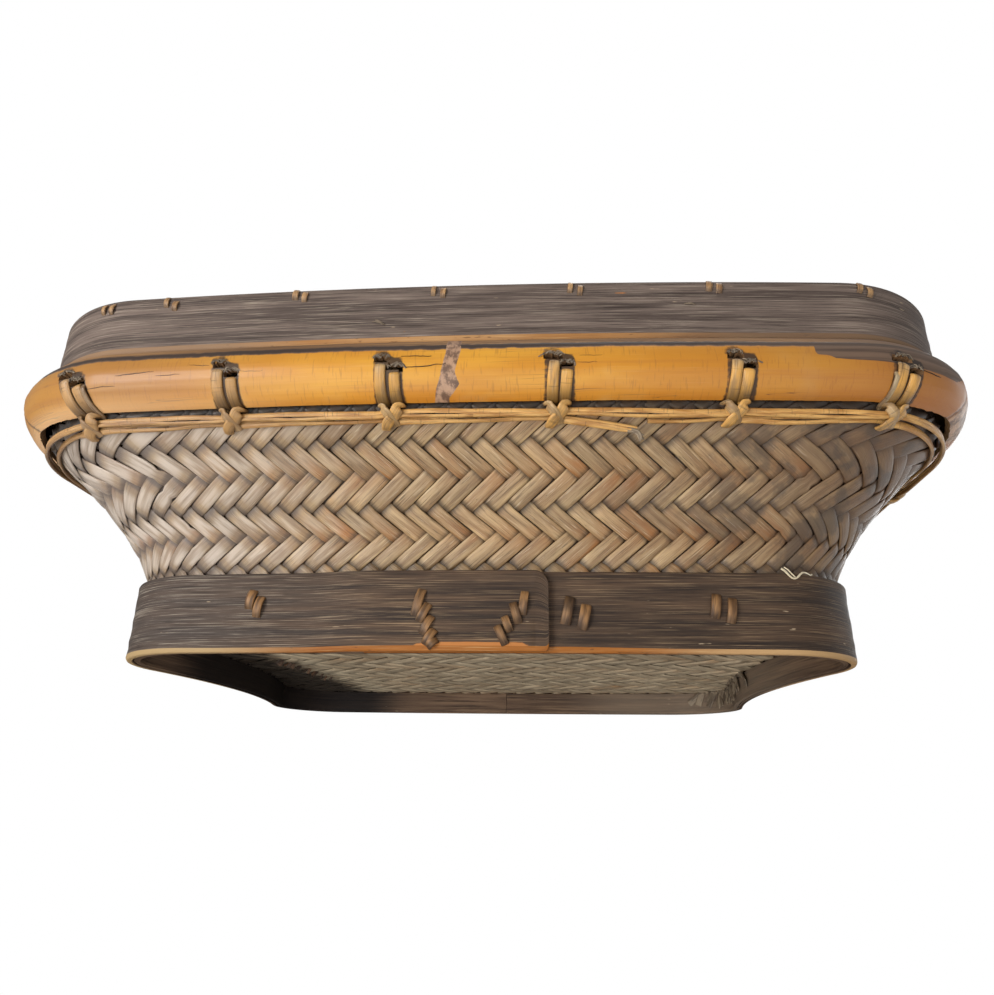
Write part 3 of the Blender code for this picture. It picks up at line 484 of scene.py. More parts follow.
def culm_material():
    """Yellowed culm skin: glossy, with lengthwise flecks, fine crazing and patina where it is worn."""
    s = Shade("rail_culm", Coat_Weight=0.14, Coat_Roughness=0.14)
    lengthwise = s.grain(9, 420, 4, 0.6)
    broad = s.grain(14, 60, 3, 0.55)
    s.body = s.mix(s.ramp(broad, 0.3, 0.7), (202, 134, 36), (220, 158, 50))
    s.over(s.mark("low") * 0.4, (200, 118, 34))
    s.coat((174, 104, 40), lengthwise, 0.5, 0.72, 0.35)
    fibre = s.grain(40, 2400, 2, 0.6)
    s.coat((236, 196, 128), fibre, 0.6, 0.8, 0.22)
    crazing = s.grain(1150, 130, 2, 0.5)
    s.coat((150, 92, 38), crazing, 0.57, 0.68, 0.34)
    crack = s.grain(12, 300, 2, 0.4, 0.2)
    wear = s.grain(30, 30, 3, 0.6)
    s.coat((214, 170, 104), wear, 0.55, 0.75, 0.35)
    line = s.ramp(s.math("ABSOLUTE", crack - 0.5), 0, 0.01, 0, 1)
    line = line * s.ramp(s.grain(24, 90, 1), 0.56, 0.66)
    dirt_and_shadow = (70, 48, 34)
    s.over(line * 0.75, dirt_and_shadow)
    around = s.node("SeparateXYZ", {0: s.node("UVMap", uv_map="flow")}, 1)
    ragged = (s.grain(180, 40, 3) - 0.5) * 0.0022
    top = around + ragged
    stain = s.mix(s.ramp(lengthwise, 0.35, 0.65), (80, 62, 50), (116, 92, 74))
    x = s.axis(0)
    # Painted shade darkens the right end; at the left a painted highlight lies on the lower part of the oval and
    # painted shade on the upper part
    s.coat((152, 92, 42), x, 0.04, 0.21, 0.85)
    s.coat(s.mix(s.mark("low"), (142, 98, 58), (232, 194, 148)), x, -0.05, -0.16, 0.6)
    lacquer = s.ramp(top, TOP_STRIP - 0.0004, TOP_STRIP + 0.0004, 0, 1)
    worn = s.math("MAXIMUM", lacquer, s.ramp(s.mark("patina"), 0.42, 0.58))
    s.over(worn, stain)
    tan = s.mix(s.ramp(lengthwise, 0.35, 0.62), (118, 84, 52), (164, 122, 76))
    s.over(s.ramp(top, 0.015, 0.0136) * s.ramp(x, 0.17, 0.115, 0.95, 0.25), tan)
    shadow = s.ramp(top, TOP_STRIP - 0.0002, TOP_STRIP - 0.0012) * s.ramp(top, 0.0134, 0.0148)
    s.over(shadow * s.ramp(x, 0.125, 0.095, 0.9, 0.15), (50, 34, 24))
    grey = s.mark("grey") + (s.grain(300, 500, 3) - 0.5) * 0.5
    scar = s.mix(s.ramp(s.grain(260, 160, 4, 0.7), 0.4, 0.6), (112, 84, 66), (184, 146, 116))
    s.coat(scar, grey, 0.45, 0.55)
    s.coat(dirt_and_shadow, s.grain(300, 900, 3, 0.7), 0.66, 0.78, 0.35)
    # Painted shadow beside and between the lashings' strands, and darker frayed skin round their holes
    soil_and_shadow = s.mark("dirt_and_shadow") + (s.grain(500, 500, 3) - 0.5) * 0.6
    s.coat((46, 36, 30), soil_and_shadow, 0.35, 0.75, 0.92)
    # Painted shade along each fold's crease
    s.over(s.mark("crease") * 0.95, (58, 45, 38))
    return s.finish(0.36 + worn * 0.25 + broad * 0.12, lengthwise - line * 1.5, 0.25, 0.0004)


def band_material(name, base, pale, dark, streak_share=0.6, along=45, across=1100, painted_shading=False, cool=0):
    """Dark bent bamboo with fine lengthwise streaks where the patina is worn."""
    s = Shade(name, Specular_IOR_Level=0.3)
    fine = s.grain(along, across, 4, 0.66)
    longer = s.grain(9, 260, 3, 0.6)
    patch = s.noise(s.place(), 17, 3, 0.6)
    s.body = s.mix(s.ramp(longer, 0.35, 0.65), dark, base)
    s.coat(dark, patch, 0.48, 0.7, 0.35)
    if cool:
        x = s.axis(0)
        s.coat((82, 72, 66), x, -0.02, -0.16, cool)
        pale = s.mix(s.ramp(x, -0.02, -0.14), pale, (190, 178, 160))
    amount = s.ramp(fine, 0.53, 0.66) * s.ramp(patch, 0.7, 0.34, 1, 0.5)
    s.over(amount * streak_share, pale)
    s.coat((36, 29, 25), fine, 0.47, 0.36, 0.75)
    scuff = s.ramp(s.grain(90, 520, 2, 0.6), 0.71, 0.76)
    s.over(scuff * 0.7, (196, 172, 140))
    edge = s.mark("worn") + (fine - 0.5) * 0.5
    s.coat((186, 120, 62), edge, 0.5, 0.62)
    if painted_shading:
        x, y = s.axis(0), s.axis(1)
        # Painted shadow on the inner faces at the left, and painted light on those at the right rear
        inside = s.ramp(x, -0.07, -0.11) * s.ramp(y, -0.1, -0.05)
        grey = s.ramp(x, 0.03, 0.1) * s.ramp(y, -0.1, 0)
        s.over(grey * 0.55, (140, 124, 106))
        s.over(inside * 0.92, (26, 21, 21))
    return s.finish(longer * 0.2 + 0.52, fine + longer, 0.6, 0.0004)


def edge_material(name, pale, deep, corners=None, bright=0.34):
    """Cut edge of split bamboo: end grain and worn fibres, tan to orange."""
    s = Shade(name, Specular_IOR_Level=0.2)
    along = s.grain(36, 1500, 3, 0.6)
    spread = s.grain(9, 30, 2, 0.5)
    s.body = s.mix(s.ramp(spread, 0.35, 0.62), pale, deep)
    s.over(s.ramp(along, 0.52, 0.72) * bright, (222, 188, 134))
    nick = s.grain(150, 700, 2, 0.6)
    s.coat((78, 54, 36), nick, 0.62, 0.7, 0.6)
    s.over(s.ramp(along, 0.42, 0.3) * 0.5, (96, 66, 44))
    if corners:
        # Other colours towards the left and the right end and round the back, orange between
        x, y = s.axis(0), s.axis(1)
        bend = x + (spread - 0.5) * 0.06
        s.coat(corners[0], bend, -0.06, -0.12, 0.9)
        s.coat(corners[1], bend, 0.05, 0.12, 0.8)
        s.coat(corners[2], y, -0.06, 0.02, 0.95)
    return s.finish(0.45 + along * 0.2, along, 0.5, 0.0003)


def strand_material(name, pale, deep, dark, gloss=0.34, rungs=0, gold=None, dull=0):
    """Split cane with lengthwise fibres; where the gold mark is high the skin is yellower, and rungs lays fine
    crossways crazing.
    """
    s = Shade(name)
    tone, s.seed = s.mark("tone"), s.mark("seed")
    fine = s.grain(70, 2600, 3, 0.6)
    broad = s.grain(90, 300, 2, 0.5)
    s.body = s.mix(s.ramp(broad, 0.36, 0.62), deep, pale)
    if gold:
        s.over(s.mark("gold") * s.ramp(broad, 0.3, 0.55, 1, 0.35), gold)
    if dull:
        s.coat((150, 118, 88), s.axis(0), -0.01, -0.14, dull)
    s.dim(tone * 0.26 + 0.86)
    s.coat(dark, fine, 0.45, 0.32, 0.6)
    s.coat((236, 214, 176), fine, 0.6, 0.74, 0.4)
    # Painted shade where the depth mark is low: where lashings pass behind the rail, at stitch ends and on the canes
    # along the sides
    s.over((1 - s.mark("depth")) * 0.88, dark)
    if rungs:
        cross = s.grain(1300, 60, 2, 0.5)
        s.coat(dark, cross, 0.62, 0.72, rungs)
    return s.finish(fine * 0.2 + gloss, fine, 0.5, 0.0003)


WEAVE = weave_material("woven_strips", (190, 160, 116), (144, 114, 80), (164, 110, 60), (44, 33, 26), shaded=True)
FLOOR_WEAVE = weave_material(
    "woven_bottom", (200, 182, 152), (150, 132, 108), (180, 134, 88), (44, 35, 29), 0.7, painted_shading=True,
)
LID_WEAVE = weave_material("woven_lid", (160, 132, 102), (122, 98, 76), (176, 116, 64), (52, 40, 32))
CULM = culm_material()
CULM_INNER = edge_material("culm_inside", (150, 116, 80), (110, 82, 58))
LID_BAND = band_material("lid_band_skin", (122, 106, 96), (192, 176, 156), (84, 71, 64), 0.56, 32, 2100)
FOOT_BAND = band_material("foot_band_skin", (93, 72, 55), (178, 149, 113), (56, 44, 36), 0.64, 30, 2300, cool=0.75)
HOOP = band_material("inner_hoop_skin", (126, 100, 78), (172, 142, 108), (86, 66, 52), 0.35, 20, 900, painted_shading=True)
LID_EDGE = edge_material("lid_cut_edge", (188, 144, 96), (166, 116, 66), ((144, 116, 90), (104, 86, 72), (126, 98, 72)))
FOOT_EDGE = edge_material(
    "foot_cut_edge", (156, 96, 40), (134, 74, 24), ((176, 150, 108), (194, 160, 114), (76, 58, 46)),
)
CANE = strand_material("running_cane_skin", (208, 160, 92), (172, 122, 62), (76, 54, 36), 0.3, 0.5, dull=0.5)
LASHING = strand_material(
    "lashing_skin", (188, 164, 126), (138, 112, 82), (46, 35, 26), 0.24, 0.45, (214, 158, 76), dull=0.62,
)
STITCH = strand_material("stitch_skin", (150, 110, 68), (94, 66, 40), (36, 27, 20), 0.36)
LID_STITCH = strand_material("lid_stitch_skin", (184, 144, 98), (132, 98, 66), (48, 36, 26), 0.36)
TUFT = strand_material("strip_tuft", (96, 68, 46), (60, 43, 31), (34, 26, 21), 0.6)
THREAD = strand_material("pale_thread", (236, 226, 200), (210, 194, 160), (130, 110, 84), 0.55)
DIRT = strand_material("crack_dirt", (84, 58, 40), (64, 44, 32), (40, 28, 22), 0.6)
FRAY = strand_material("frayed_fibre", (158, 140, 116), (108, 92, 74), (56, 46, 38), 0.5)


# ---------------------------------------------------------------- plaiting
def slopes(surface, u, v, tiny=0.02):
    """How a surface runs with u and with v."""
    du = (surface(u + tiny, v) - surface(u - tiny, v)) / (2 * tiny)
    return du, (surface(u, v + tiny) - surface(u, v - tiny)) / (2 * tiny)


def plait(
    soup, surface, lines, family, step, half_thick, lift, section, fill, face=1, cap=0.009, warm=None, arch=0.28,
):
    """Strips of one family: 1 runs up to the right (u - v fixed), -1 up to the left (u + v fixed).
    surface(u, v) gives points; lines lists (index, lowest v, highest v); warm gives the chance of a brown float."""
    first = 0 if family == 1 else 3
    for index, low, high in lines:
        count = max(int(round((high - low) * 2 * step)) + 1, 4)
        v = np.linspace(low, high, count)
        offset = index + wander(count, 12, 0.018)
        u = offset + family * v
        du, dv = slopes(surface, u, v)
        normal = np.cross(du, dv)
        area = np.linalg.norm(normal, axis=-1)
        normal = normal / area[:, None]
        spacing = area / np.linalg.norm(dv + family * du, axis=-1)
        # A strip lies over three crossings (height 1), then under the next three
        away = np.abs(np.mod(2 * v - first + 2, 6) - 3)
        height = face * (1 - 2 * smooth(away, 1.02, 1.98))
        bulge = arch * near(away, 1.6, 2) * (height > 0)
        level = lift * (height + bulge * face) + wander(count, 8, lift * 0.06)
        width = 0.5 * fill * np.minimum(spacing, cap) * (1 + wander(count, 20, 0.018))
        # Each float has its own brown and its own tone
        crossing = np.floor((2 * v - first + 0.5) / 6).astype(int)
        floats = range(crossing.min(), crossing.max() + 1)
        chance = warm(offset.mean()) if warm else 0.10
        browns = {c: min(RNG.exponential(chance), 1.0) for c in floats}
        shades = {c: draw(-0.5, 0.5) for c in floats}
        # Each float grows browner towards one end, as painted shade on the end turned from the light
        run_out = family * (np.mod(2 * v - first + 2, 6) - 3)
        fade = smooth(run_out, -0.4, 1.5)
        brown = np.array([browns[c] for c in crossing])
        warmth = np.clip(brown * (0.55 + 0.75 * fade) + 0.25 * fade, 0, 1)
        # The depth mark is painted shade: darker where the strip dives under, towards each float's ends, and more at
        # one end
        pad = near(away, 1.62, 2) ** 0.6
        shine = smooth((height * face + 1) / 2) * (0.42 + 0.58 * pad) * (0.62 + 0.38 * smooth(run_out, -1.5, -0.9))
        tone = np.clip(RNG.random() * 0.6 + 0.2 + np.array([shades[c] for c in crossing]) * 0.6, 0, 1)
        strap(
            soup, surface(u, v) + normal * level[:, None], normal, width, half_thick, section,
            start=draw(0, 5), seed=RNG.random(), tone=tone, warm=warmth, depth=shine,
        )


REPEAT = 0.0101
# Rows of the plaiting: row number against length up the wall from the foot band's top edge
ROW_MARKS = ((-3.5, -0.0209), (-0.5, 0.0052), (2.5, 0.0305), (5.5, 0.0592), (10.5, 0.1067))
PHASE = 0.78
ROUND = 124.0
QUARTER_STRIPS = ROUND / 4
# How far from the middle of the front, and of a side, the strips keep their even pitch
FLAT_FRONT = 0.1230
FLAT_SIDE = 0.0980
WALL_LOW, WALL_HIGH = 0.0150, 0.1142


class WallGrid:
    """Where the plaiting's coordinates lie on the flared wall: u round it, v up it."""

    def __init__(self):
        self.z = z = np.linspace(WALL_LOW, WALL_HIGH, 400)
        share = flare(z)
        front = (FOOT[1] - FOOT_INSET) * (1 - share) + RIM[1] * share
        run = lengths(np.stack([z, front], -1))
        self.rise = run - np.interp(0.030, z, run)
        self.levels = np.linspace(WALL_LOW, WALL_HIGH, 34)
        self.grid = np.linspace(0, QUARTER_STRIPS, 249)
        self.numbers, self.climbs = np.array(ROW_MARKS).T
        q = np.linspace(0, QUARTER_STATIONS, 601)
        rows = []
        for level in self.levels:
            s = lengths(wall_face(q, level))
            start, end = FLAT_FRONT, s[-1] - FLAT_SIDE
            middle, half = (start + end) / 2, (end - start) / 2 + 0.010
            window = smooth(half - np.abs(s - middle), 0.0, 0.030)
            area = np.trapz(window, s) / REPEAT
            density = (1 - (s[-1] / REPEAT - QUARTER_STRIPS) / area * window) / REPEAT
            u = np.r_[0, np.cumsum((density[1:] + density[:-1]) / 2 * np.diff(s))]
            rows.append(np.interp(self.grid, u * QUARTER_STRIPS / u[-1], q))
        self.table = np.array(rows)

    def height(self, v):
        return np.interp(np.interp(v, self.numbers, self.climbs), self.rise, self.z)

    def row(self, z):
        return np.interp(np.interp(z, self.z, self.rise), self.climbs, self.numbers)

    def station(self, u, z):
        w = np.mod(u, ROUND)
        half = np.floor(w / (ROUND / 2))
        w = w - half * ROUND / 2
        back = w > QUARTER_STRIPS
        w = np.where(back, ROUND / 2 - w, w)
        level, place = (
            np.clip((value - knots[0]) / (knots[1] - knots[0]), 0, len(knots) - 1.001)
            for value, knots in ((z, self.levels), (w, self.grid))
        )
        a, b = level.astype(int), place.astype(int)
        fa, fb = level - a, place - b
        low, high = (self.table[row, b] * (1 - fb) + self.table[row, b + 1] * fb for row in (a, a + 1))
        q = low * (1 - fa) + high * fa
        return np.where(back, 24 - q, q) + 24 * half

    def __call__(self, u, v):
        z = self.height(v)
        return wall_face(self.station(u + PHASE, z), z)


def make_wall():
    grid = WallGrid()

    def middle(u, v):
        return grid(u, v) - unit(np.cross(*slopes(grid, u, v))) * 0.00168

    def brown(u):
        """The front's right half has the most brown floats."""
        return 0.16 + 0.26 * math.exp(-((signed(u * REPEAT) - 0.075) / 0.075) ** 2)

    soup = Soup()
    lines = [(index, grid.row(0.0172), grid.row(0.1126)) for index in range(int(ROUND))]
    for family in (1, -1):
        plait(soup, middle, lines, family, 3, 0.00060, 0.00072, CROWN, 0.945, cap=0.0084, warm=brown, arch=0.60)
    soup.build("wall_weave", [WEAVE], "woven_bowl")


class Disc:
    """A nearly flat woven sheet inside an outline: share 0 at its middle and 1 on the outline."""

    def __init__(self, loop, offset, edge_z, rise, power, across, along, shift=0.0):
        flat = loop.points(np.linspace(0, loop.length, 1441)[:-1], offset, 0.0)
        angle = np.arctan2(flat[:, 1], flat[:, 0])
        order = np.argsort(angle)
        self.angle = np.concatenate([angle[order] + turn for turn in (-2 * np.pi, 0, 2 * np.pi)])
        self.radius = np.tile(np.hypot(flat[:, 0], flat[:, 1])[order], 3)
        self.edge_z, self.rise, self.power = edge_z, rise, power
        self.across, self.along, self.shift = across, along, shift

    def locate(self, u, v):
        x, y = (u + self.shift) * self.across, v * self.along
        return x, y, np.hypot(x, y) / np.interp(np.arctan2(y, x), self.angle, self.radius)

    def surface(self, u, v):
        x, y, share = self.locate(u, v)
        return np.stack([x, y, self.edge_z + self.rise * (1 - np.clip(share, 0, 1) ** self.power)], -1)

    def weave(self, soup, reach, *sizes, **options):
        v = np.linspace(-reach, reach, 4001)
        for family in (1, -1):
            lines = []
            for index in range(-2 * reach, 2 * reach + 1):
                inside = self.locate(index + family * v, v)[2] < 1
                if inside.sum() > 90:
                    lines.append((index, v[inside].min(), v[inside].max()))
            plait(soup, self.surface, lines, family, *sizes, **options)


def make_floor():
    middle = FLOOR_BOTTOM + WALL_THICKNESS / 2
    disc = Disc(FOOT_LOOP, -(FOOT_INSET + 0.0019), middle, FLOOR_RISE, 1.0, 0.0142, 0.0134, 0.3)
    soup = Soup()
    disc.weave(soup, 24, 3, 0.00070, 0.00095, PLAIN_STRIP, 0.85, cap=0.011, face=-1)
    soup.build("bottom_weave", [FLOOR_WEAVE], "woven_bowl", sharp=50)


def make_lid_panel():
    face, row, count = -0.0001, 0.0098, 144
    top = PANEL_TOP - 0.0016
    disc = Disc(RIM_LOOP, face - 0.0003, PANEL_TOP - 0.0014, DOME_RISE, 2.0, 0.0101, row)
    soup = Soup()
    disc.weave(soup, 44, 2, 0.00040, 0.00052, PLAIN_STRIP, 0.95)
    soup.build("lid_weave", [LID_WEAVE], "lid_panel", "lid", 50)

    def skirt(u, v):
        z = SKIRT_BOTTOM + v * row
        inward = 0.0012 + 0.0022 * smooth(z, top - 0.0030, top + 0.0010) ** 2
        return RIM_LOOP.points(np.mod(u, count) / count * RIM_LOOP.length, face - inward, z)

    soup = Soup()
    lines = [(index, 0.0, (top - SKIRT_BOTTOM) / row) for index in range(count)]
    for family in (1, -1):
        plait(soup, skirt, lines, family, 2, 0.00040, 0.00050, PLAIN_STRIP, 0.96)
    soup.build("lid_skirt", [LID_WEAVE], "lid_panel", "lid", 50)


# ---------------------------------------------------------------- rail
# Place from the front centre and lean in degrees
LASHINGS_FRONT = ((-0.1690, -13.0), (-0.1020, 0.0), (-0.0340, 0.0), (0.0351, 0.0), (0.1072, 0.0), (0.1712, 2.0))
SIDE_PITCH = 0.085
LASH_WIDTH = 0.0047
LASH_HALF_STEP = (LASH_WIDTH + 0.0006) / 2
LASH_THICKNESS = 0.0012
# Which side of its lashing each turn lies on, and the height of its hole
TURNS = ((-1, RAIL_TOP - 0.0140), (1, RAIL_TOP - 0.0182))
LASHINGS = []
for index, (s, lean) in enumerate(LASHINGS_FRONT, 1):
    LASHINGS += [("lashing_front_%d" % index, s, lean), ("lashing_back_%d" % index, s + BACK, lean)]
for index, s in enumerate((-SIDE_PITCH, 0.0, SIDE_PITCH), 1):
    LASHINGS += [("lashing_right_%d" % index, QUARTER + s, 0.0), ("lashing_left_%d" % index, 3 * QUARTER + s, 0.0)]

# Folds: how far before and after the crease the lower lip is pared, and each crease with its way round
PARED = (0.0280, 0.0270)
FOLDS = tuple((centre + side * 0.2015, side) for centre in (0.0, BACK) for side in (-1, 1))
# Degrees round the oval at which the skin ends: at a fold, and elsewhere
APEX = -68.0
LIP = -80.0
OUTER_STEPS = 40
# Lengths round the skin and round the inside, over which the patterns run
SKIN_ROUND = 0.043
INSIDE_ROUND = 0.030

# Long cracks in the rail's skin, in mm from the front centre and degrees round the oval: start, end and width
CRACKS = (
    (-29.0, 6.5, -16.5, 6.0, 0.30), (-28.5, -13.5, -10.5, -12.0, 0.40), (-118.0, 4.0, -106.0, 0.0, 0.35),
    (-150.0, -10.0, -133.0, -6.5, 0.40), (-132.0, -12.0, -121.5, -12.0, 0.30), (-96.0, -10.0, -86.0, -10.0, 0.30),
    (176.5, -12.0, 195.5, -9.0, 0.55), (43.0, 2.0, 52.0, 2.5, 0.25), (42.0, -9.0, 50.0, -9.0, 0.25),
    (-164.0, -30.0, -150.0, -28.0, 0.25), (380.0, -4.0, 406.0, -6.0, 0.40), (-356.0, 10.0, -332.0, 8.0, 0.40),
)


def rail_lengths():
    """Stations round the rail: close together at the holes, the folds and the painted patches."""
    length = RIM_LOOP.length
    marks = set(np.round(np.linspace(0, length, 485)[:-1], 5))
    for _, s, _ in LASHINGS:
        marks |= set(np.round(s % length + np.arange(-0.0095, 0.0096, 0.0006), 5))
    for crease, side in FOLDS:
        near_end, far_end = sorted((-side * PARED[0], side * PARED[1]))
        marks |= set(np.round((crease + np.arange(near_end, far_end, 0.0009)) % length, 5))
    marks |= set(np.round(np.arange(-0.020, 0.002, 0.0008) % length, 5))
    marks |= set(np.round(np.arange(0.1340, 0.1400, 0.0008), 5))
    ordered = sorted(BACK + (mark - BACK) % length for mark in marks)
    kept = [ordered[0]]
    for mark in ordered[1:]:
        if mark - kept[-1] > 0.0003:
            kept.append(mark)
    return np.array(kept)


def leaning(s, place, lean, z):
    """Length from a lashing's leaning middle line at heights z."""
    return signed(s, place) - math.tan(math.radians(lean)) * (z - RAIL_CENTRE)


def rail_holes(s, mid_z):
    """Which cells of the skin are bored away, and how frayed the skin is round them."""
    cells, frayed = np.zeros(mid_z.shape, bool), np.zeros(mid_z.shape)
    middles = s + np.r_[np.diff(s), s[0] + RIM_LOOP.length - s[-1]] / 2
    for _, place, lean in LASHINGS:
        for turn, height in TURNS:
            away = leaning(middles, place + turn * LASH_HALF_STEP, lean, height)
            wide = 0.0033 + 0.0004 * RNG.normal()
            ragged = 0.0005 * np.sin(away * 2600 + place * 900) + 0.0004 * np.sin(away * 5300 + 1.3)
            rise = mid_z - (height + 0.0006)
            arc = np.sqrt(near(away, wide, 2))[:, None]
            cells |= (
                (np.abs(away) < wide)[:, None] & (rise > -0.0016) & (rise < (0.0012 + ragged)[:, None] * arc + 0.0002)
            )
            ring = (away / 0.0040)[:, None] ** 2 + (rise / 0.0036) ** 2
            frayed = np.maximum(frayed, np.clip(1.7 - ring, 0, 1) * (rise > -0.0012))
    return cells, frayed


def hole_walls(soup, cells, n, m):
    """Closes each hole between the skin and the inside."""
    walls = []
    for i, j in np.argwhere(cells):
        i2 = (i + 1) % n
        sides = (
            ((i, j), (i2, j), i, j - 1), ((i2, j + 1), (i, j + 1), i, j + 1),
            ((i, j + 1), (i, j), (i - 1) % n, j), ((i2, j), (i2, j + 1), i2, j),
        )
        for (a, b), (c, d), row, column in sides:
            if not 0 <= column < OUTER_STEPS or not cells[row, column]:
                walls.append([a * m + b, c * m + d, c * m + m - 1 - d, a * m + m - 1 - b])
    soup.faces += walls
    soup.uvs.append(np.zeros((4 * len(walls), 2)))
    soup.mats.append(np.full(len(walls), 1))


def rail_marks(s, degrees, outer_z, beyond, frayed):
    """Where the skin is stained and grey, where painted shadow lies by the lashings and frayed skin round their holes,
    and which part is low down.
    """
    front = signed(s)
    # A stepped patch of old lacquer at the right end and a leaning scar left of the middle
    edge = np.interp(front, [0.136, 0.141, 0.144, 0.154, 0.173, 0.195, 0.204], [5, 3, -3, -5, -9, -8, 12])[:, None]
    patina = between(front, (0.1355, 0.1375), (0.202, 0.210))[:, None] * smooth(degrees - edge, -3, 3)
    left = np.interp(degrees, [-90, -50, -30, 14], [-0.0162, -0.0146, -0.0130, -0.0108])
    right = np.interp(degrees, [-90, -68, -55, -42, -22, 14], [-0.0099, -0.0096, -0.0073, -0.0052, -0.0070, -0.0048])
    grey = np.clip(np.minimum(front[:, None] - left, right - front[:, None]) / 0.0014 + 0.5, 0, 1)
    for (fold, side), past in zip(FOLDS, beyond):
        share = 0.42 if side < 0 and abs(fold) < QUARTER else 0.9
        folded = between(past, (0.0002, 0.0016), (0.020, 0.030)) * (1 - smooth(degrees, -30, -5)) * share
        grey = np.maximum(grey, folded)
    # Painted shadow beside each lashing, widening low down, and between its turns, and darker frayed skin round the
    # holes
    dirt_and_shadow = np.zeros(degrees.shape)
    for _, place, lean in LASHINGS:
        away = np.abs(leaning(s[:, None], place, lean, outer_z))
        beside = near(away - 0.0056, 0.0011 + 0.0016 * (1 - smooth(degrees, -88, -50)))
        dirt_and_shadow = np.maximum(dirt_and_shadow, beside * 0.85 * (1 - smooth(degrees, -6, 8)))
        dirt_and_shadow = np.maximum(dirt_and_shadow, near(away, 0.0056) ** 0.15 * (1 - smooth(degrees, 2, 10)))
    dirt_and_shadow[:, :-1] = np.maximum(dirt_and_shadow[:, :-1], frayed * 0.62)
    return {"patina": patina, "grey": grey, "dirt_and_shadow": dirt_and_shadow, "low": 1 - smooth(degrees, -75, -35)}


def make_rail():
    s = rail_lengths()
    n = len(s)
    bottom, peak = np.full(n, LIP), np.zeros(n)
    for fold, side in FOLDS:
        forward = signed(s, fold) * side
        pared = np.clip(np.minimum(1 + forward / PARED[0], 1 - forward / PARED[1]), 0, 1)
        bottom = np.maximum(bottom, LIP + (APEX - LIP) * pared)
        peak = np.maximum(peak, near(forward, 0.020) ** 1.2)
    ragged = wander(n, 2, 0.8) * (bottom > LIP + 1) + wander(n, 9, 0.5)
    share = np.linspace(0, 1, OUTER_STEPS + 1)
    angle = np.radians(90 + (bottom - 90 + ragged)[:, None] * share)
    degrees = np.degrees(angle)
    beyond = [signed(s, fold)[:, None] * side - 0.0045 * smooth(degrees, APEX, -15) for fold, side in FOLDS]
    crease = np.max([near(past, 0.0013) * (1 - smooth(degrees, -25, 30)) for past in beyond], axis=0)
    swell = 1 - 0.012 + wander(n, 40, 0.008)
    depth = RAIL_DEPTH * np.clip(swell, 0.96, 1.0)[:, None]
    grain = RNG.normal(0, 1, OUTER_STEPS + 1)
    grain[[0, -1]] = 0
    ridge = 0.00005 * grain
    dent = 0.0006 * crease
    outer_out = GAP + (depth - dent - 0.00012 + ridge + 0.0015 * peak[:, None]) * np.cos(angle)
    outer_z = RAIL_CENTRE + (RAIL_HALF - dent * 0.7 - 0.00005 + ridge) * np.sin(angle)
    inner_out = GAP + (depth - RAIL_WALL) * np.cos(angle[:, ::-1])
    inner_z = RAIL_CENTRE + (RAIL_HALF - RAIL_WALL) * np.sin(angle[:, ::-1])
    out, z = np.concatenate([outer_out, inner_out], 1), np.concatenate([outer_z, inner_z], 1)
    rows = RIM_LOOP.points(s[:, None], out, z)
    m = rows.shape[1]

    mid_angle = np.degrees((angle[:, 1:] + angle[:, :-1]) / 2)
    cells, frayed = rail_holes(s, RAIL_CENTRE + RAIL_HALF * np.sin(np.radians(mid_angle)))
    skip = np.zeros((n, m), bool)
    skip[:, :OUTER_STEPS] = cells
    skip[:, OUTER_STEPS + 1:-1] = cells[:, ::-1]
    marks = rail_marks(s, degrees, outer_z, beyond, frayed)
    marks["crease"] = crease
    marks = {name: np.pad(mark, ((0, 0), (0, OUTER_STEPS + 1))) for name, mark in marks.items()}
    inside = SKIN_ROUND + RAIL_WALL + share * INSIDE_ROUND
    across = np.r_[share * SKIN_ROUND, inside, SKIN_ROUND + 2 * RAIL_WALL + INSIDE_ROUND]
    soup = Soup()
    mats = [0] * OUTER_STEPS + [1] * (m - OUTER_STEPS)
    soup.add(rows, np.r_[s, RIM_LOOP.length + s[0]], across, loop=True, mats=mats, skip=skip, **marks)
    hole_walls(soup, cells, n, m)
    soup.build("rail_culm", [CULM, CULM_INNER], "rail", sharp=38)

    soup = Soup()
    for s0, a0, s1, a1, width in np.array(CRACKS) / (1000, 1, 1000, 1, 1000):
        t = np.linspace(0, 1, max(int(abs(s1 - s0) / 0.0010), 6))
        bend = np.radians(a0 + (a1 - a0) * t + np.cumsum(RNG.normal(0, 0.5, len(t))))
        at = s0 + (s1 - s0) * t
        deep = RAIL_DEPTH * 0.985 - 0.00006
        points = RIM_LOOP.points(at, GAP + deep * np.cos(bend), RAIL_CENTRE + (RAIL_HALF - 0.0001) * np.sin(bend))
        taper = width * 0.5 * np.sin(np.pi * (0.04 + 0.92 * t)) ** 0.6
        strap(soup, points, RIM_LOOP.hint(at, np.sin(bend), np.cos(bend)), taper, 0.00016, LENS, tone=0.0, depth=0.0)
    soup.build("rail_cracks", [DIRT])


# ---------------------------------------------------------------- lashings and running canes
CANE_RADIUS = 0.0016
CANE_SPREAD = 0.0004
LASH_CLEARANCE = 0.0006
# How far a lashing's strands drift along the rim on their way down,
# then how far off the middle the left and the right one leave their holes
STRAY = {
    "lashing_front_2": (0.0004, 0, 0), "lashing_front_4": (-0.0010, 0.0011, 0.0004),
    "lashing_front_5": (-0.0012, 0.0012, -0.0001), "lashing_front_6": (-0.0004, 0, 0),
}


def chance():
    """A strip's own grain and tone."""
    return {"seed": RNG.random(), "tone": RNG.random()}


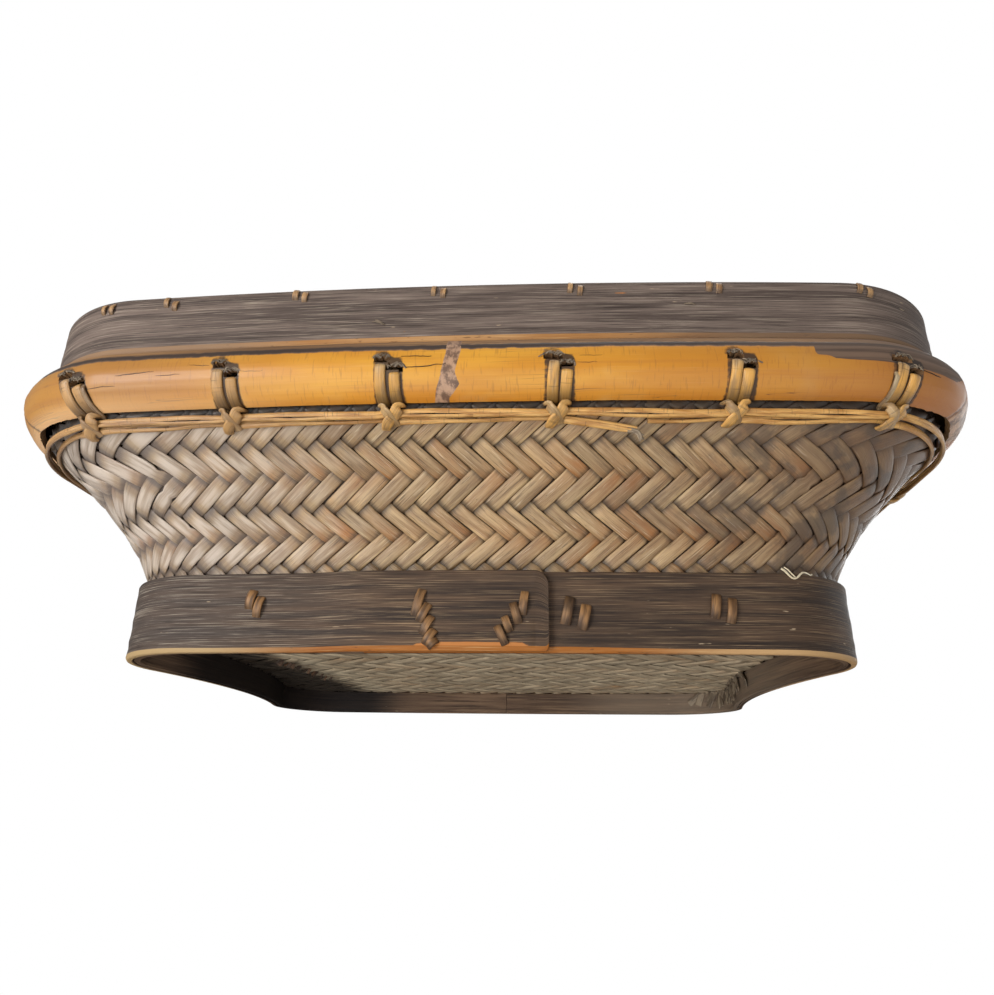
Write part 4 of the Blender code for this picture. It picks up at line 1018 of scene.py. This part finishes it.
def cane_centre(s, level):
    """How far out and how high a running cane lies: level 0 is the upper one."""
    s = np.asarray(s, float)
    height = RAIL_BOTTOM - 0.0032 - level * 0.0036
    slope = (wall_inset(s, height - 0.001) - wall_inset(s, height + 0.001)) / 0.002
    reach = (CANE_RADIUS + LASH_CLEARANCE) * np.hypot(1.0, slope)
    return reach - wall_inset(s, height), np.full(s.shape, height)


def make_lashing(name, place, lean):
    """Two turns through the rail and round the canes. A path has points (outwards, up, along the rim)."""
    flat, normal = RIM_LOOP.at(np.array([place]))
    origin, out = np.r_[flat[0], 0], np.r_[normal[0], 0]
    along, up = np.array([-out[1], out[0], 0]), np.array([0, 0, 1])
    shear = math.tan(math.radians(lean))
    half, step = LASH_THICKNESS / 2, LASH_HALF_STEP
    inside = -(WALL_THICKNESS + GAP + COLLAR_THICKNESS + LASH_CLEARANCE + half)
    (upper_out, upper), (lower_out, lower) = [np.ravel(cane_centre([place], level)) for level in (0, 1)]
    drift, *moved = STRAY.get(name, (RNG.normal(0, 0.0005), 0, 0))
    soup = Soup()

    def over_rail(angle, offset):
        reach_out, reach_up = GAP + RAIL_DEPTH + 0.0004, RAIL_HALF + 0.0004
        path = reach_out * np.cos(angle), RAIL_CENTRE + reach_up * np.sin(angle), offset
        return np.stack(np.broadcast_arrays(*path), -1)

    # depth sets painted shade, 1 being fully lit
    def lay(path, width, thick, depth, section=CROWN, hint=None, **marks):
        offset = path[:, 2] + shear * np.clip(path[:, 1] - RAIL_CENTRE, -RAIL_HALF, RAIL_HEIGHT)
        points = origin + out * path[:, :1] + along * offset[:, None] + up * path[:, 1:2]
        if hint is None:
            hint = out * (path[:, :1] + 0.004) + up * (path[:, 1:2] - RAIL_CENTRE + 0.003)
        strap(soup, points, hint, width, thick, section, start=draw(0, 3), **chance(), depth=depth, **marks)

    for turn, height in TURNS:
        base = turn * step + moved[turn > 0]
        start = math.asin((height - RAIL_CENTRE) / (RAIL_HALF + 0.0004))
        share = np.arange(1, 10) / 9
        bow = -0.0007 * np.sin(np.pi * share) * (1 if turn < 0 else 0.4)
        swing = over_rail(start + (math.radians(-88) - start) * share, base * 1.06 + bow + drift * share)
        last = swing[-1, 2]
        path = rounded([
            (inside, height - 0.0002, base), (-0.001, height, base), (GAP + RAIL_DEPTH * 0.6, height - 0.0003, base),
            *swing, (-0.0014, RAIL_BOTTOM - 0.0008, last - turn * 0.0006),
            (-WALL_THICKNESS - 0.001, RAIL_BOTTOM - 0.0006, last - turn * 0.0008),
        ])
        # Painted shade where the turn lies in behind the rail's face, deeper low down near the wall
        depth = 0.25 + 0.75 * smooth(path[:, 0], 0.005, 0.0115)
        shaded = smooth(path[:, 0], 0.000, 0.006) * 0.6 + 0.4
        depth = depth * np.where(path[:, 1] < RAIL_CENTRE - 0.009, shaded, 1)
        gold = smooth(RAIL_CENTRE + 0.001 - path[:, 1], 0.0, 0.009)
        lay(path, LASH_WIDTH / 2 * (1 + wander(len(path), 12, 0.03)), half * 1.25, depth, gold=gold)
    # A third, narrow turn lies on the inner side of the corner lashings
    nearest = min(signed(place), signed(place, BACK), key=abs)
    if abs(nearest) > 0.15 and lean:
        side = 1 if nearest < 0 else -1
        swing = over_rail(np.radians(-22 - 64 * np.arange(10) / 9), side * (step * 2.05 + 0.0004))
        swing[0, 0] -= 0.0012
        path = rounded([*swing, (-0.0014, RAIL_BOTTOM - 0.0008, side * step * 1.8)])
        lay(path, LASH_WIDTH * 0.24, half, 0.7, gold=0.0)
    # Where the strands are led round the running canes: one short turn lies under a second, pointed one
    around = CANE_RADIUS + 0.0009
    path = rounded([
        (-0.0006, RAIL_BOTTOM + 0.0002, -0.0036), (upper_out + around * 0.8, upper + 0.0020, -0.0036),
        (upper_out + around, upper + 0.0002, -0.0030), (upper_out + around, upper - 0.0016, -0.0014),
        (lower_out + around * 0.6, lower + 0.0004, 0.0006), (lower_out - 0.001, lower - 0.0002, 0.0014),
    ]) + (0, 0, drift)
    lay(path, 0.0021, half * 1.2, 0.85, gold=0.35)
    path = rounded([
        (-0.0010, RAIL_BOTTOM + 0.0002, 0.0034), (upper_out + around * 0.9, upper + 0.0020, 0.0034),
        (upper_out + around + 0.0006, upper - 0.0004, 0.0028), (lower_out + around + 0.0008, lower + 0.0014, 0.0008),
        (lower_out + around + 0.0004, lower - 0.0002, -0.0012), (lower_out + around * 0.3, lower - 0.0014, -0.0024),
        (lower_out - around * 0.8, lower - 0.0012, -0.0030),
    ]) + (0, 0, drift)
    share = lengths(path) / lengths(path)[-1]
    width = 0.0026 * (1 - 0.22 * smooth(share, 0.60, 0.95))
    lay(path, width, half * 1.3, 0.4 + 0.6 * smooth(share, 0.05, 0.3), gold=0.8)
    # The strand that leads from one turn to the other on the inside
    (_, first), (_, second) = TURNS
    path = rounded([
        (inside - 0.0004, first + 0.0004, -step - 0.001), (inside - 0.0007, first - 0.0014, 0.0),
        (inside - 0.0004, second - 0.0004, step + 0.001),
    ], 2)
    lay(path, LASH_WIDTH / 2 * 0.9, half, 0.8, hint=-out, gold=0.3)
    # Broken fibres of the culm's skin round the holes
    for turn, height in TURNS:
        for _ in range(16):
            c = turn * step + draw(-0.0036, 0.0036)
            edge = math.sqrt(max(1 - ((c - turn * step) / 0.0038) ** 2, 0.05))
            z = height + 0.0004 + 0.0020 * edge + draw(-0.0005, 0.0006)
            slant = draw(-0.0024, 0.0024)
            fibre = []
            for share in (0.0, 0.5, 1.0):
                at = z - share * draw(0.0006, 0.0016)
                skin = GAP + RAIL_DEPTH * math.cos(math.asin((at - RAIL_CENTRE) / RAIL_HALF))
                fibre.append((skin - 0.0001 + (0.0007 * RNG.random() if share == 0.5 else 0.0), at, c + slant * share))
            lay(rounded(fibre, 2), draw(0.00016, 0.00036), 0.00014, draw(0.2, 0.9), LENS, mat=1, gold=0.0)
    soup.build(name + "_turns", [LASHING, FRAY], name)


def make_canes():
    length = RIM_LOOP.length
    holds = np.array(sorted(s % length for _, s, _ in LASHINGS))
    spans = draw(0.15, 1.0, len(holds) + 1)
    skews = draw(0.30, 0.70, len(holds) + 1)
    ends = np.r_[holds[-1] - length, holds, holds[0] + length]
    # The lower cane starts past a lashing and ends in a loose tail before it
    tail, loose = 0.0351, 0.0315
    for level, name in enumerate(("running_cane_upper", "running_cane_lower")):
        closed, sign = not level, -1 if level else 1
        s = np.linspace(tail + 0.036, tail + length + loose, 971) if level else np.linspace(0, length, 971)[:-1]
        outward, height = cane_centre(s, level)
        place = np.mod(s, length)
        after = np.searchsorted(holds, place, side="right")
        share = np.clip((place - ends[after]) / (ends[after + 1] - ends[after]), 0, 1)
        swell = np.sin(np.pi * share)
        span = after % len(holds)
        skew = skews[span]
        part_way = np.where(share < skew, share / skew / 2, 0.5 + (share - skew) / (1 - skew) / 2)
        spread = sign * CANE_SPREAD * np.sin(np.pi * part_way) ** 1.5 * spans[span]
        wobble = wander(len(s), 12, 0.00018, closed)
        past = level * np.clip((s - tail - length) / loose, 0, 1)
        # Between two lashings the upper cane sinks and comes outwards, and the lower one thins out behind it
        along_span = np.where(past > 0, 0.0, share * smooth(1 - share, 0.0, 0.10))
        outward = outward + sign * 0.0007 * (along_span - 0.35)
        height = height + spread * 0.5 - 0.0042 * past + wobble * swell
        height = height - sign * 0.0011 * along_span + (0.0014 if level else -0.0003)
        right = between(signed(s), (0.03, 0.08), (0.160, 0.175))
        height = height - 0.0010 * right * np.sqrt(np.clip(swell, 0, 1))
        lean_to = (span * 0.37 + level * 0.5) % 1.0
        gap = 0.0006 * near(share - 0.25 - 0.5 * lean_to, 0.22, 2) * smooth(spans[span], 0.2, 0.5)
        body = CANE_RADIUS * (1.0 + wander(len(s), 20, 0.03, closed))
        body = body * (1.12 - 0.34 * along_span if level else 1.0 + 0.16 * swell)
        hint = RIM_LOOP.hint(s, -0.45)
        on_side = smooth(np.minimum(np.abs(signed(s)), np.abs(signed(s, BACK))), 0.185, 0.235)
        soup = Soup()
        for part, section in ((1, UPPER_SPLIT), (-1, LOWER_SPLIT)):
            share_of = 0.58 if part == sign else 0.42
            middle = height + part * (body * (1 - share_of) + gap * 0.5)
            half_height = (body * share_of - gap * 0.15) * (1 - level * 0.25 * smooth(past, 0.7, 1.0))
            points = RIM_LOOP.points(s, outward + 0.00008 * part, middle)
            # Painted shade on the canes along the sides
            depth = 1.0 - 0.55 * on_side
            strap(soup, points, hint, half_height, CANE_RADIUS * 0.5, section, closed, **chance(), depth=depth)
        for _ in range(22 * level):
            base = (-0.004, draw(-0.0006, 0.0008), draw(-0.0010, 0.0010))
            middle = (draw(-0.001, 0.001), draw(-0.0006, 0.0014), -draw(0.0002, 0.0020))
            tip = (draw(0.0004, 0.0030), draw(-0.0008, 0.0010), -draw(0.0020, 0.0056))
            end = np.array([s[-1], outward[-1], height[-1]])
            path = rounded(RIM_LOOP.points(*(end + (base, middle, tip)).T))
            strap(soup, path, hint[-1], draw(0.0002, 0.0005), 0.00018, LENS, **chance(), depth=1.0, mat=1)
        soup.build(name + "_strips", [CANE, FRAY], name)


# ---------------------------------------------------------------- bands
LAP_RAMP = 0.030
TIP_RADIUS = 0.006
LID_LAP = 0.040
# Worn spots on the lid band: place, height, and how long and how high each is
LID_SPOTS = ((-0.030, 0.1285, 0.003, 0.0009), (0.062, 0.1462, 0.005, 0.0006), (0.118, 0.1335, 0.006, 0.0006))


def band(soup, loop, s, inner, outer, bottom, top, chamfer, worn, bevel=(0.0008, 0.0008, 0.0)):
    """A bent strip on edge. inner, outer, bottom and top may vary along s. Its lower outer corner is cut to a rounded
    bevel, given by its depth, its height and how far it hangs below bottom."""
    n, c = len(s), chamfer
    inner, outer, bottom, top = (np.broadcast_to(np.asarray(value, float), n) for value in (inner, outer, bottom, top))
    deep, high, drop = bevel
    out, z = [inner + c * 0.4], [bottom]
    for degrees in (0, 22, 45, 68, 90):
        turn = math.radians(degrees)
        out.append(outer - deep + deep * math.sin(turn) - wander(n, 10, 0.00005))
        rough = wander(n, 14, 0.00016) if degrees == 90 else 0.0
        z.append(bottom - drop + high * (1 - math.cos(turn)) + rough)
    start = bottom + high - drop + 0.0002
    for share in np.linspace(0, 1, 11)[1:-1]:
        out.append(outer + wander(n, 25, 0.00012) - 0.00012)
        z.append(start + (top - c - start) * share)
    out += [outer, outer - c * 0.3, outer - c, inner + c * 0.4, inner, inner]
    z += [top - c, top - c * 0.3, top, top, top - c * 0.5, bottom + c * 0.5]
    out, z = np.stack(out, 1), np.stack(z, 1)
    step = np.hypot(*(np.diff(np.c_[side, side[:, :1]], axis=1) for side in (out, z))).mean(0)
    mats = [1] * 5 + [0] * 13 + [2] * 3
    rows = loop.points(s[:, None], out, z)
    soup.add(rows, s, np.r_[0, np.cumsum(step)], mats=mats, cap_mat=1, worn=worn(s[:, None], z))


def lap_rise(s, tip, lap):
    """Share of the ride over the strip's first end, on the way to its outer tip."""
    return smooth(s, tip - lap - LAP_RAMP, tip - lap)


def round_tip(s, tip, radius):
    """How much a strip's corner is cut back near its tip."""
    x = np.clip(s - (tip - radius), 0, radius)
    return radius - np.sqrt(np.clip(radius ** 2 - x ** 2, 0, None))


def stations(start, tip, radius=0.0):
    """Lengths along a strip every 3 mm, and close together round its tip."""
    marks = np.linspace(start, tip, int((tip - start) / 0.003) + 1)
    return np.unique(np.round(np.r_[marks, tip - radius + radius * np.sin(np.radians(np.arange(0, 91, 9)))], 6))


def make_foot():
    length = FOOT_LOOP.length
    tip = 0.0300 + length
    s = stations(-0.047, tip, TIP_RADIUS)
    rise = (BAND_THICKNESS + GAP) * lap_rise(s, tip, 0.077)
    top = FOOT_HEIGHT - 0.0001 - round_tip(s, tip, TIP_RADIUS) * 0.999 - np.abs(wander(len(s), 30, 0.00015))

    def worn(along, z):
        rising = 0.0020 * near(FOOT_LOOP.signed(along) + 0.002, 0.030)
        return smooth(0.0030 + rising - z, -0.0008, 0.0012) * smooth(rising, 0.0, 0.0008)

    soup = Soup()
    bottom = round_tip(s, tip, 0.0020)
    band(soup, FOOT_LOOP, s, rise - BAND_THICKNESS, rise, bottom, top, 0.0008, worn, (0.0010, 0.0020, 0.0))
    soup.build("foot_band_bent", [FOOT_BAND, FOOT_EDGE, HOOP], "foot_band", sharp=35)
    soup = Soup()
    start = length / 2 + 0.00015
    s = stations(start, start + length - GAP)
    bottom = 0.0003 + np.abs(wander(len(s), 20, 0.0002))
    inner = -(FOOT_INSET + HOOP_THICKNESS)
    band(soup, FOOT_LOOP, s, inner, -FOOT_INSET, bottom, HOOP_HEIGHT, 0.0005, lambda along, z: z * 0)
    soup.build("foot_hoop_bent", [HOOP] * 3, "foot_hoop", sharp=35)


def make_lid_band():
    length = RIM_LOOP.length
    tip = length / 2 + LID_LAP + length
    s = stations(length / 2 - LID_LAP, tip, TIP_RADIUS)
    rise = (LID_BAND_THICKNESS + GAP) * lap_rise(s, tip, 0.080)
    cut = round_tip(s, tip, TIP_RADIUS)

    def worn(along, z):
        place = signed(along)
        return 0.68 * sum(np.exp(-(((place - a) / w) ** 2 + ((z - b) / h) ** 2)) for a, b, w, h in LID_SPOTS)

    soup = Soup()
    sides = LID_BAND_INNER + rise, LID_BAND_OUTER + rise, LID_SEAT + cut, LID_TOP - cut * 0.999
    band(soup, RIM_LOOP, s, *sides, 0.0008, worn, (0.0010, 0.0026, 0.0007))
    soup.build("lid_band_bent", [LID_BAND, LID_EDGE, LID_BAND], "lid_band", "lid", 35)


# ---------------------------------------------------------------- stitches and loose fibres
# Pairs of stitches round the front of the lid band: place, then the tops of the left and the right one
LID_PAIRS = (
    (-0.1670, 0.1509, 0.1504), (-0.1370, 0.1517, 0.1496), (-0.0775, 0.1521, 0.1508), (-0.0162, 0.1516, 0.1505),
    (0.0428, 0.1517, 0.1503), (0.1020, 0.1519, 0.1509), (0.1658, 0.1519, 0.1503),
)
# Stitches on the foot band, in mm: place and height of the lower end, then of the upper end
FOOT_STITCHES = (
    (-25.5, 14.6, -22.8, 25.3), (-23.5, 12.2, -20.0, 19.2), (-22.2, 6.9, -18.5, 14.0), (-20.8, 2.6, -17.2, 8.4),
    (-19.6, 1.8, -16.2, 4.6), (19.0, 15.0, 20.3, 24.3), (17.6, 11.4, 15.2, 19.6), (14.0, 8.0, 11.8, 13.8),
    (12.2, 2.6, 8.8, 10.0),
)
LAP_PAIR = ((36.8, 11.6, 39.2, 22.9), (43.7, 9.6, 45.8, 19.5))
FOOT_PAIRS = (
    (-98.5, 18.6, -97.2, 26.2), (-94.8, 15.0, -93.3, 23.4), (98.5, 14.6, 100.0, 24.2), (105.0, 12.6, 106.5, 22.5),
)


def stitch(soup, loop, offset, ends, half_width, bulge, half_thick, dark=0.0):
    """A short strap that comes out of a band at its upper end and goes back in at its lower end."""
    low_s, low_z, high_s, high_z = ends
    t = np.linspace(0, 1, 13)
    s = high_s + (low_s - high_s) * t
    lift = -0.0008 + (bulge + 0.0008) * np.sin(np.pi * (0.04 + 0.92 * t)) ** 0.55
    points = loop.points(s, offset + lift, high_z + (low_z - high_z) * t)
    # Painted shade towards the stitch's ends, where it goes into the band, and over its upper part where dark is given
    depth = np.clip(0.35 + 0.9 * np.sin(np.pi * np.clip(t + 0.12, 0, 1)), 0, 1) * (1 - dark * (1 - smooth(t, 0.4, 0.7)))
    width = half_width * (1 + RNG.normal(0, 0.05))
    strap(soup, points, loop.hint(s), width, half_thick, STRIP, start=draw(0, 3), tone=RNG.random(), depth=depth)


def make_stitches():
    soup = Soup()
    places = []
    for base in (0.0, BACK):
        for s, *tops in LID_PAIRS:
            lapped = base and -0.0700 < s < 0.040
            ease = smooth(s, -0.070, -0.040) if s < -0.04 else 1.0
            places.append((base + s, tops, (LID_BAND_THICKNESS + GAP) * ease if lapped else 0.0))
    for side in (1, 3):
        places += [(side * QUARTER + s, (0.1518, 0.1506), 0.0) for s in (-0.118, -0.060, 0.0, 0.060, 0.118)]
    for s, tops, over in places:
        for side, top in zip((-1, 1), tops):
            middle = s + side * 0.0021
            ends = middle - 0.0003, top - 0.0048, middle + 0.0002, top
            stitch(soup, RIM_LOOP, LID_BAND_OUTER + over, ends, 0.0012, 0.0009, 0.0004)
    soup.build("lid_stitches", [LID_STITCH], "lid_band", "lid", 45)

    soup = Soup()
    sets = (
        (FOOT_STITCHES, BAND_THICKNESS + GAP, 0.0018, 0.0015), (LAP_PAIR, 0.0, 0.0021, 0.0017),
        (FOOT_PAIRS, 0.0, 0.0019, 0.0016),
    )
    for rows, offset, width, bulge in sets:
        for ends in rows:
            # The first stitch of the lap pair gets painted shadow over its upper half
            dark = 0.75 if ends is LAP_PAIR[0] else 0.0
            stitch(soup, FOOT_LOOP, offset, np.array(ends) / 1000, width, bulge, 0.0006, dark)
    half = FOOT_LOOP.length / 2
    sides = [half * share + step for share in (0.5, 1.5) for step in (-0.06, 0.06)]
    for base in (half - 0.095, half, half + 0.095, *sides):
        for side, top in ((-1, 0.0262), (1, 0.0240)):
            middle = base + side * 0.0030
            ends = middle - 0.0008, top - 0.0088, middle + 0.0006, top
            stitch(soup, FOOT_LOOP, 0.0, ends, 0.0015, 0.0013, 0.00045)
    soup.build("foot_stitches", [STITCH], "foot_band", sharp=45)


def make_loose_fibres():
    """A curled fibre at the foot of the wall and splinters on the lid band."""
    soup = Soup()
    # Place and height in mm, and how far it stands off, as a share of 0.6 mm
    knots = np.array([
        (128.5, 36.0, 0.0), (130.0, 35.0, 0.4), (131.1, 33.2, 1.0), (132.6, 31.6, 1.2), (134.3, 31.7, 1.4),
        (136.0, 33.4, 1.5), (137.6, 34.7, 1.3), (139.5, 34.5, 1.5), (141.3, 33.6, 1.2), (142.4, 34.2, 0.9),
    ]) * (0.001, 0.001, 1)
    hint = np.array([0.0, -1.0, 0.2])
    for path, width, taper, thick, tone in (
        (knots, 0.00052, 0.55, 0.00022, 0.5), (knots[:4] + (0.0012, 0.0006, 0.4), 0.0003, 1, 0.00016, 0.8),
    ):
        s, z, off = rounded(path).T
        points = FOOT_LOOP.points(s, 0.0006 * off, z)
        strap(soup, points, hint, width * np.linspace(1, taper, len(s)), thick, LENS, tone=tone, depth=1.0, mat=1)
    soup.build("loose_fibre", [FRAY, THREAD])
    soup = Soup()
    t = np.linspace(0, 1, 12)
    for s0, z0, length, drop in (
        (-0.0445, 0.1345, 0.0062, -0.0022), (-0.0432, 0.1352, 0.0040, -0.0026), (0.0885, 0.1405, 0.0050, -0.0004),
    ):
        s = s0 + length * t
        points = RIM_LOOP.points(s, LID_BAND_OUTER - 0.0002 + 0.0009 * np.sin(np.pi * t) ** 0.7, z0 + drop * t)
        width = 0.00045 * np.sin(np.pi * (0.08 + 0.84 * t))
        strap(soup, points, RIM_LOOP.hint(s), width, 0.00018, LENS, tone=RNG.random(), depth=1.0)
    soup.build("lid_splinters", [FRAY], body="lid")


def make_strip_ends():
    """Cut ends of the bottom's strips: grey and crossed at the right rear, short brown tufts at the left."""
    soup = Soup()
    hoop = -(FOOT_INSET + HOOP_THICKNESS)
    for index in range(24):
        start = 0.318 + 0.0048 * index + draw(-0.001, 0.001)
        slant = draw(0.008, 0.022) * (1 if index % 3 else -0.7)
        s, out, z = rounded([
            (start, hoop - 0.0034, 0.0158), (start + slant * 0.4, hoop - 0.0016, 0.0146),
            (start + slant * 0.75, hoop - 0.0012, 0.0100), (start + slant, hoop - 0.0013, draw(0.0030, 0.0075)),
        ], 2).T
        points, hint = FOOT_LOOP.points(s, out, z), FOOT_LOOP.hint(s, -0.3, -1.0)
        strap(soup, points, hint, draw(0.0015, 0.0027), 0.0004, STRIP, **chance(), depth=draw(0.55, 1.0))
    z = FLOOR_BOTTOM - 0.0004
    for index in range(16):
        y = -0.026 + 0.0050 * index + RNG.normal(0, 0.002)
        x = -0.1210 + 0.10 * y + RNG.normal(0, 0.0014)
        lean = draw(-0.004, 0.004)
        path = rounded([
            (x, y, z + 0.0006), (x - 0.001, y + lean * 0.5, z - 0.0010),
            (x - 0.002, y + lean, z - draw(0.0008, 0.0028)),
        ], 2)
        hint = np.array([0.4, -1.0, -0.1])
        strap(soup, path, hint, draw(0.0003, 0.0016), 0.0003, LENS, **chance(), depth=0.8, mat=1)
    soup.build("strip_ends", [FRAY, TUFT])


def make_collar():
    """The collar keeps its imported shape, with its slots, and gets a worked finish."""
    s = Shade("collar_skin")
    place = s.node("NewGeometry", output="Position")
    x, y, z = (s.node("SeparateXYZ", {0: place}, axis) for axis in range(3))
    fine = s.noise(s.node("CombineXYZ", {0: x * 14, 1: y * 14, 2: z * 900}), 1, 4, 0.6)
    s.body = s.mix(s.ramp(s.noise(place, 30, 3), 0.35, 0.65), (150, 112, 74), (184, 146, 102))
    s.over(s.ramp(fine, 0.45, 0.3) * 0.6, (88, 62, 42))
    s.over(s.ramp(fine, 0.58, 0.72) * 0.4, (214, 184, 142))
    material = s.finish(0.42 + fine * 0.2, fine, 0.4, 0.0004)
    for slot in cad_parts["collar"].material_slots:
        slot.material = material


make_wall()
make_floor()
make_lid_panel()
make_rail()
for lashing in LASHINGS:
    make_lashing(*lashing)
make_canes()
make_foot()
make_lid_band()
make_stitches()
make_loose_fibres()
make_collar()
make_strip_ends()


# ---------------------------------------------------------------- stage, lights and camera
def make_stage():
    """A pale floor that can't be seen from below, casts no shadow and throws no light up at the part."""
    reach = 6.0
    corners = [(-reach, -reach, 0), (reach, -reach, 0), (reach, reach, 0), (-reach, reach, 0)]
    mesh = bpy.data.meshes.new("floor")
    mesh.from_pydata(corners, [], [(0, 1, 2, 3)])
    s = Shade("pale_floor")
    s.tree.nodes.remove(s.shader)
    colour = s.mix(s.noise(s.place(), 1.2), [0.80, 0.80, 0.79, 1.0], [0.84, 0.84, 0.83, 1.0])
    rays = "Camera", "Shadow", "Diffuse"
    camera, shadow, diffuse = (s.node("LightPath", output="Is %s Ray" % ray) for ray in rays)
    back = s.node("NewGeometry", output="Backfacing")
    unseen = s.math("MAXIMUM", back, s.math("MAXIMUM", shadow, diffuse))
    glow = s.node("Emission", {"Color": colour, "Strength": camera * 0.36})
    pale = s.node("AddShader", {0: s.node("BsdfDiffuse", {"Color": colour}), 1: glow})
    both = s.node("MixShader", {0: unseen, 1: pale, 2: s.node("BsdfTransparent")})
    s.feed(s.tree.nodes["Material Output"].inputs["Surface"], both)
    mesh.materials.append(s.mat)
    add_object("floor", mesh)


def make_world():
    """White behind the part, and a weaker light from all sides."""
    world = bpy.data.worlds.new("studio")
    bpy.context.scene.world = world
    s = Tree(world)
    sockets = s.tree.nodes["Background"].inputs
    camera, through = (s.node("LightPath", output="Is %s Ray" % ray) for ray in ("Camera", "Transmission"))
    seen = s.math("MAXIMUM", camera, through)
    s.feed(sockets["Color"], (1.0, 1.0, 1.0, 1.0))
    s.feed(sockets["Strength"], s.node("MapRange", {"Value": seen, "To Min": 0.27, "To Max": 1.0}))


def lamp(name, location, target, size, power):
    light = bpy.data.lights.new(name, "AREA")
    light.shape, light.size, light.energy = "SQUARE", size, power
    thing = add_object(name, light)
    thing.location = location
    thing.rotation_euler = (Vector(target) - Vector(location)).to_track_quat("-Z", "Y").to_euler()


def make_camera():
    """The photo's camera, as solved from its picture of the part."""
    focal, pitch, roll, yaw = 728.25, 0.3715, -0.0130, -0.0605
    photo_width, film = 994, 36.0
    data = bpy.data.cameras.new("camera")
    data.sensor_fit = "HORIZONTAL"
    data.sensor_width = film
    data.lens = film * focal / photo_width
    data.clip_start = 0.02
    right = Vector((1, 0, 0))
    up = Vector((0, -math.sin(pitch), math.cos(pitch)))
    ahead = Vector((0, math.cos(pitch), math.sin(pitch)))
    turned = right * math.cos(roll) - up * math.sin(roll)
    lifted = right * math.sin(roll) + up * math.cos(roll)
    basis = Matrix((turned, lifted, -ahead)).transposed().to_4x4()
    basis.translation = Vector((-0.0010, -0.4483, -0.0493))
    camera = add_object("camera", data)
    camera.matrix_world = Matrix.Rotation(-yaw, 4, "Z") @ basis
    bpy.context.scene.camera = camera


make_stage()
make_world()
lamp("key", (-0.62, -0.88, 0.14), (-0.08, -0.15, 0.07), 0.45, 4.8)
lamp("front", (-0.85, -1.10, -0.48), (-0.05, 0, 0.06), 0.45, 4.6)
lamp("fill", (-0.10, -1.15, -0.70), (0, -0.05, 0.06), 1.3, 9.5)
lamp("side", (1.7, 0.6, 0.3), (0.1, 0.05, 0.06), 1.0, 5.0)
lamp("top", (0.3, 0.2, 1.7), (0, 0, 0.1), 1.0, 12.0)
lamp("rear", (0.9, 1.5, 0.7), (0, 0.1, 0.08), 1.0, 14.0)
make_camera()
bpy.context.scene.view_settings.view_transform = "Standard"
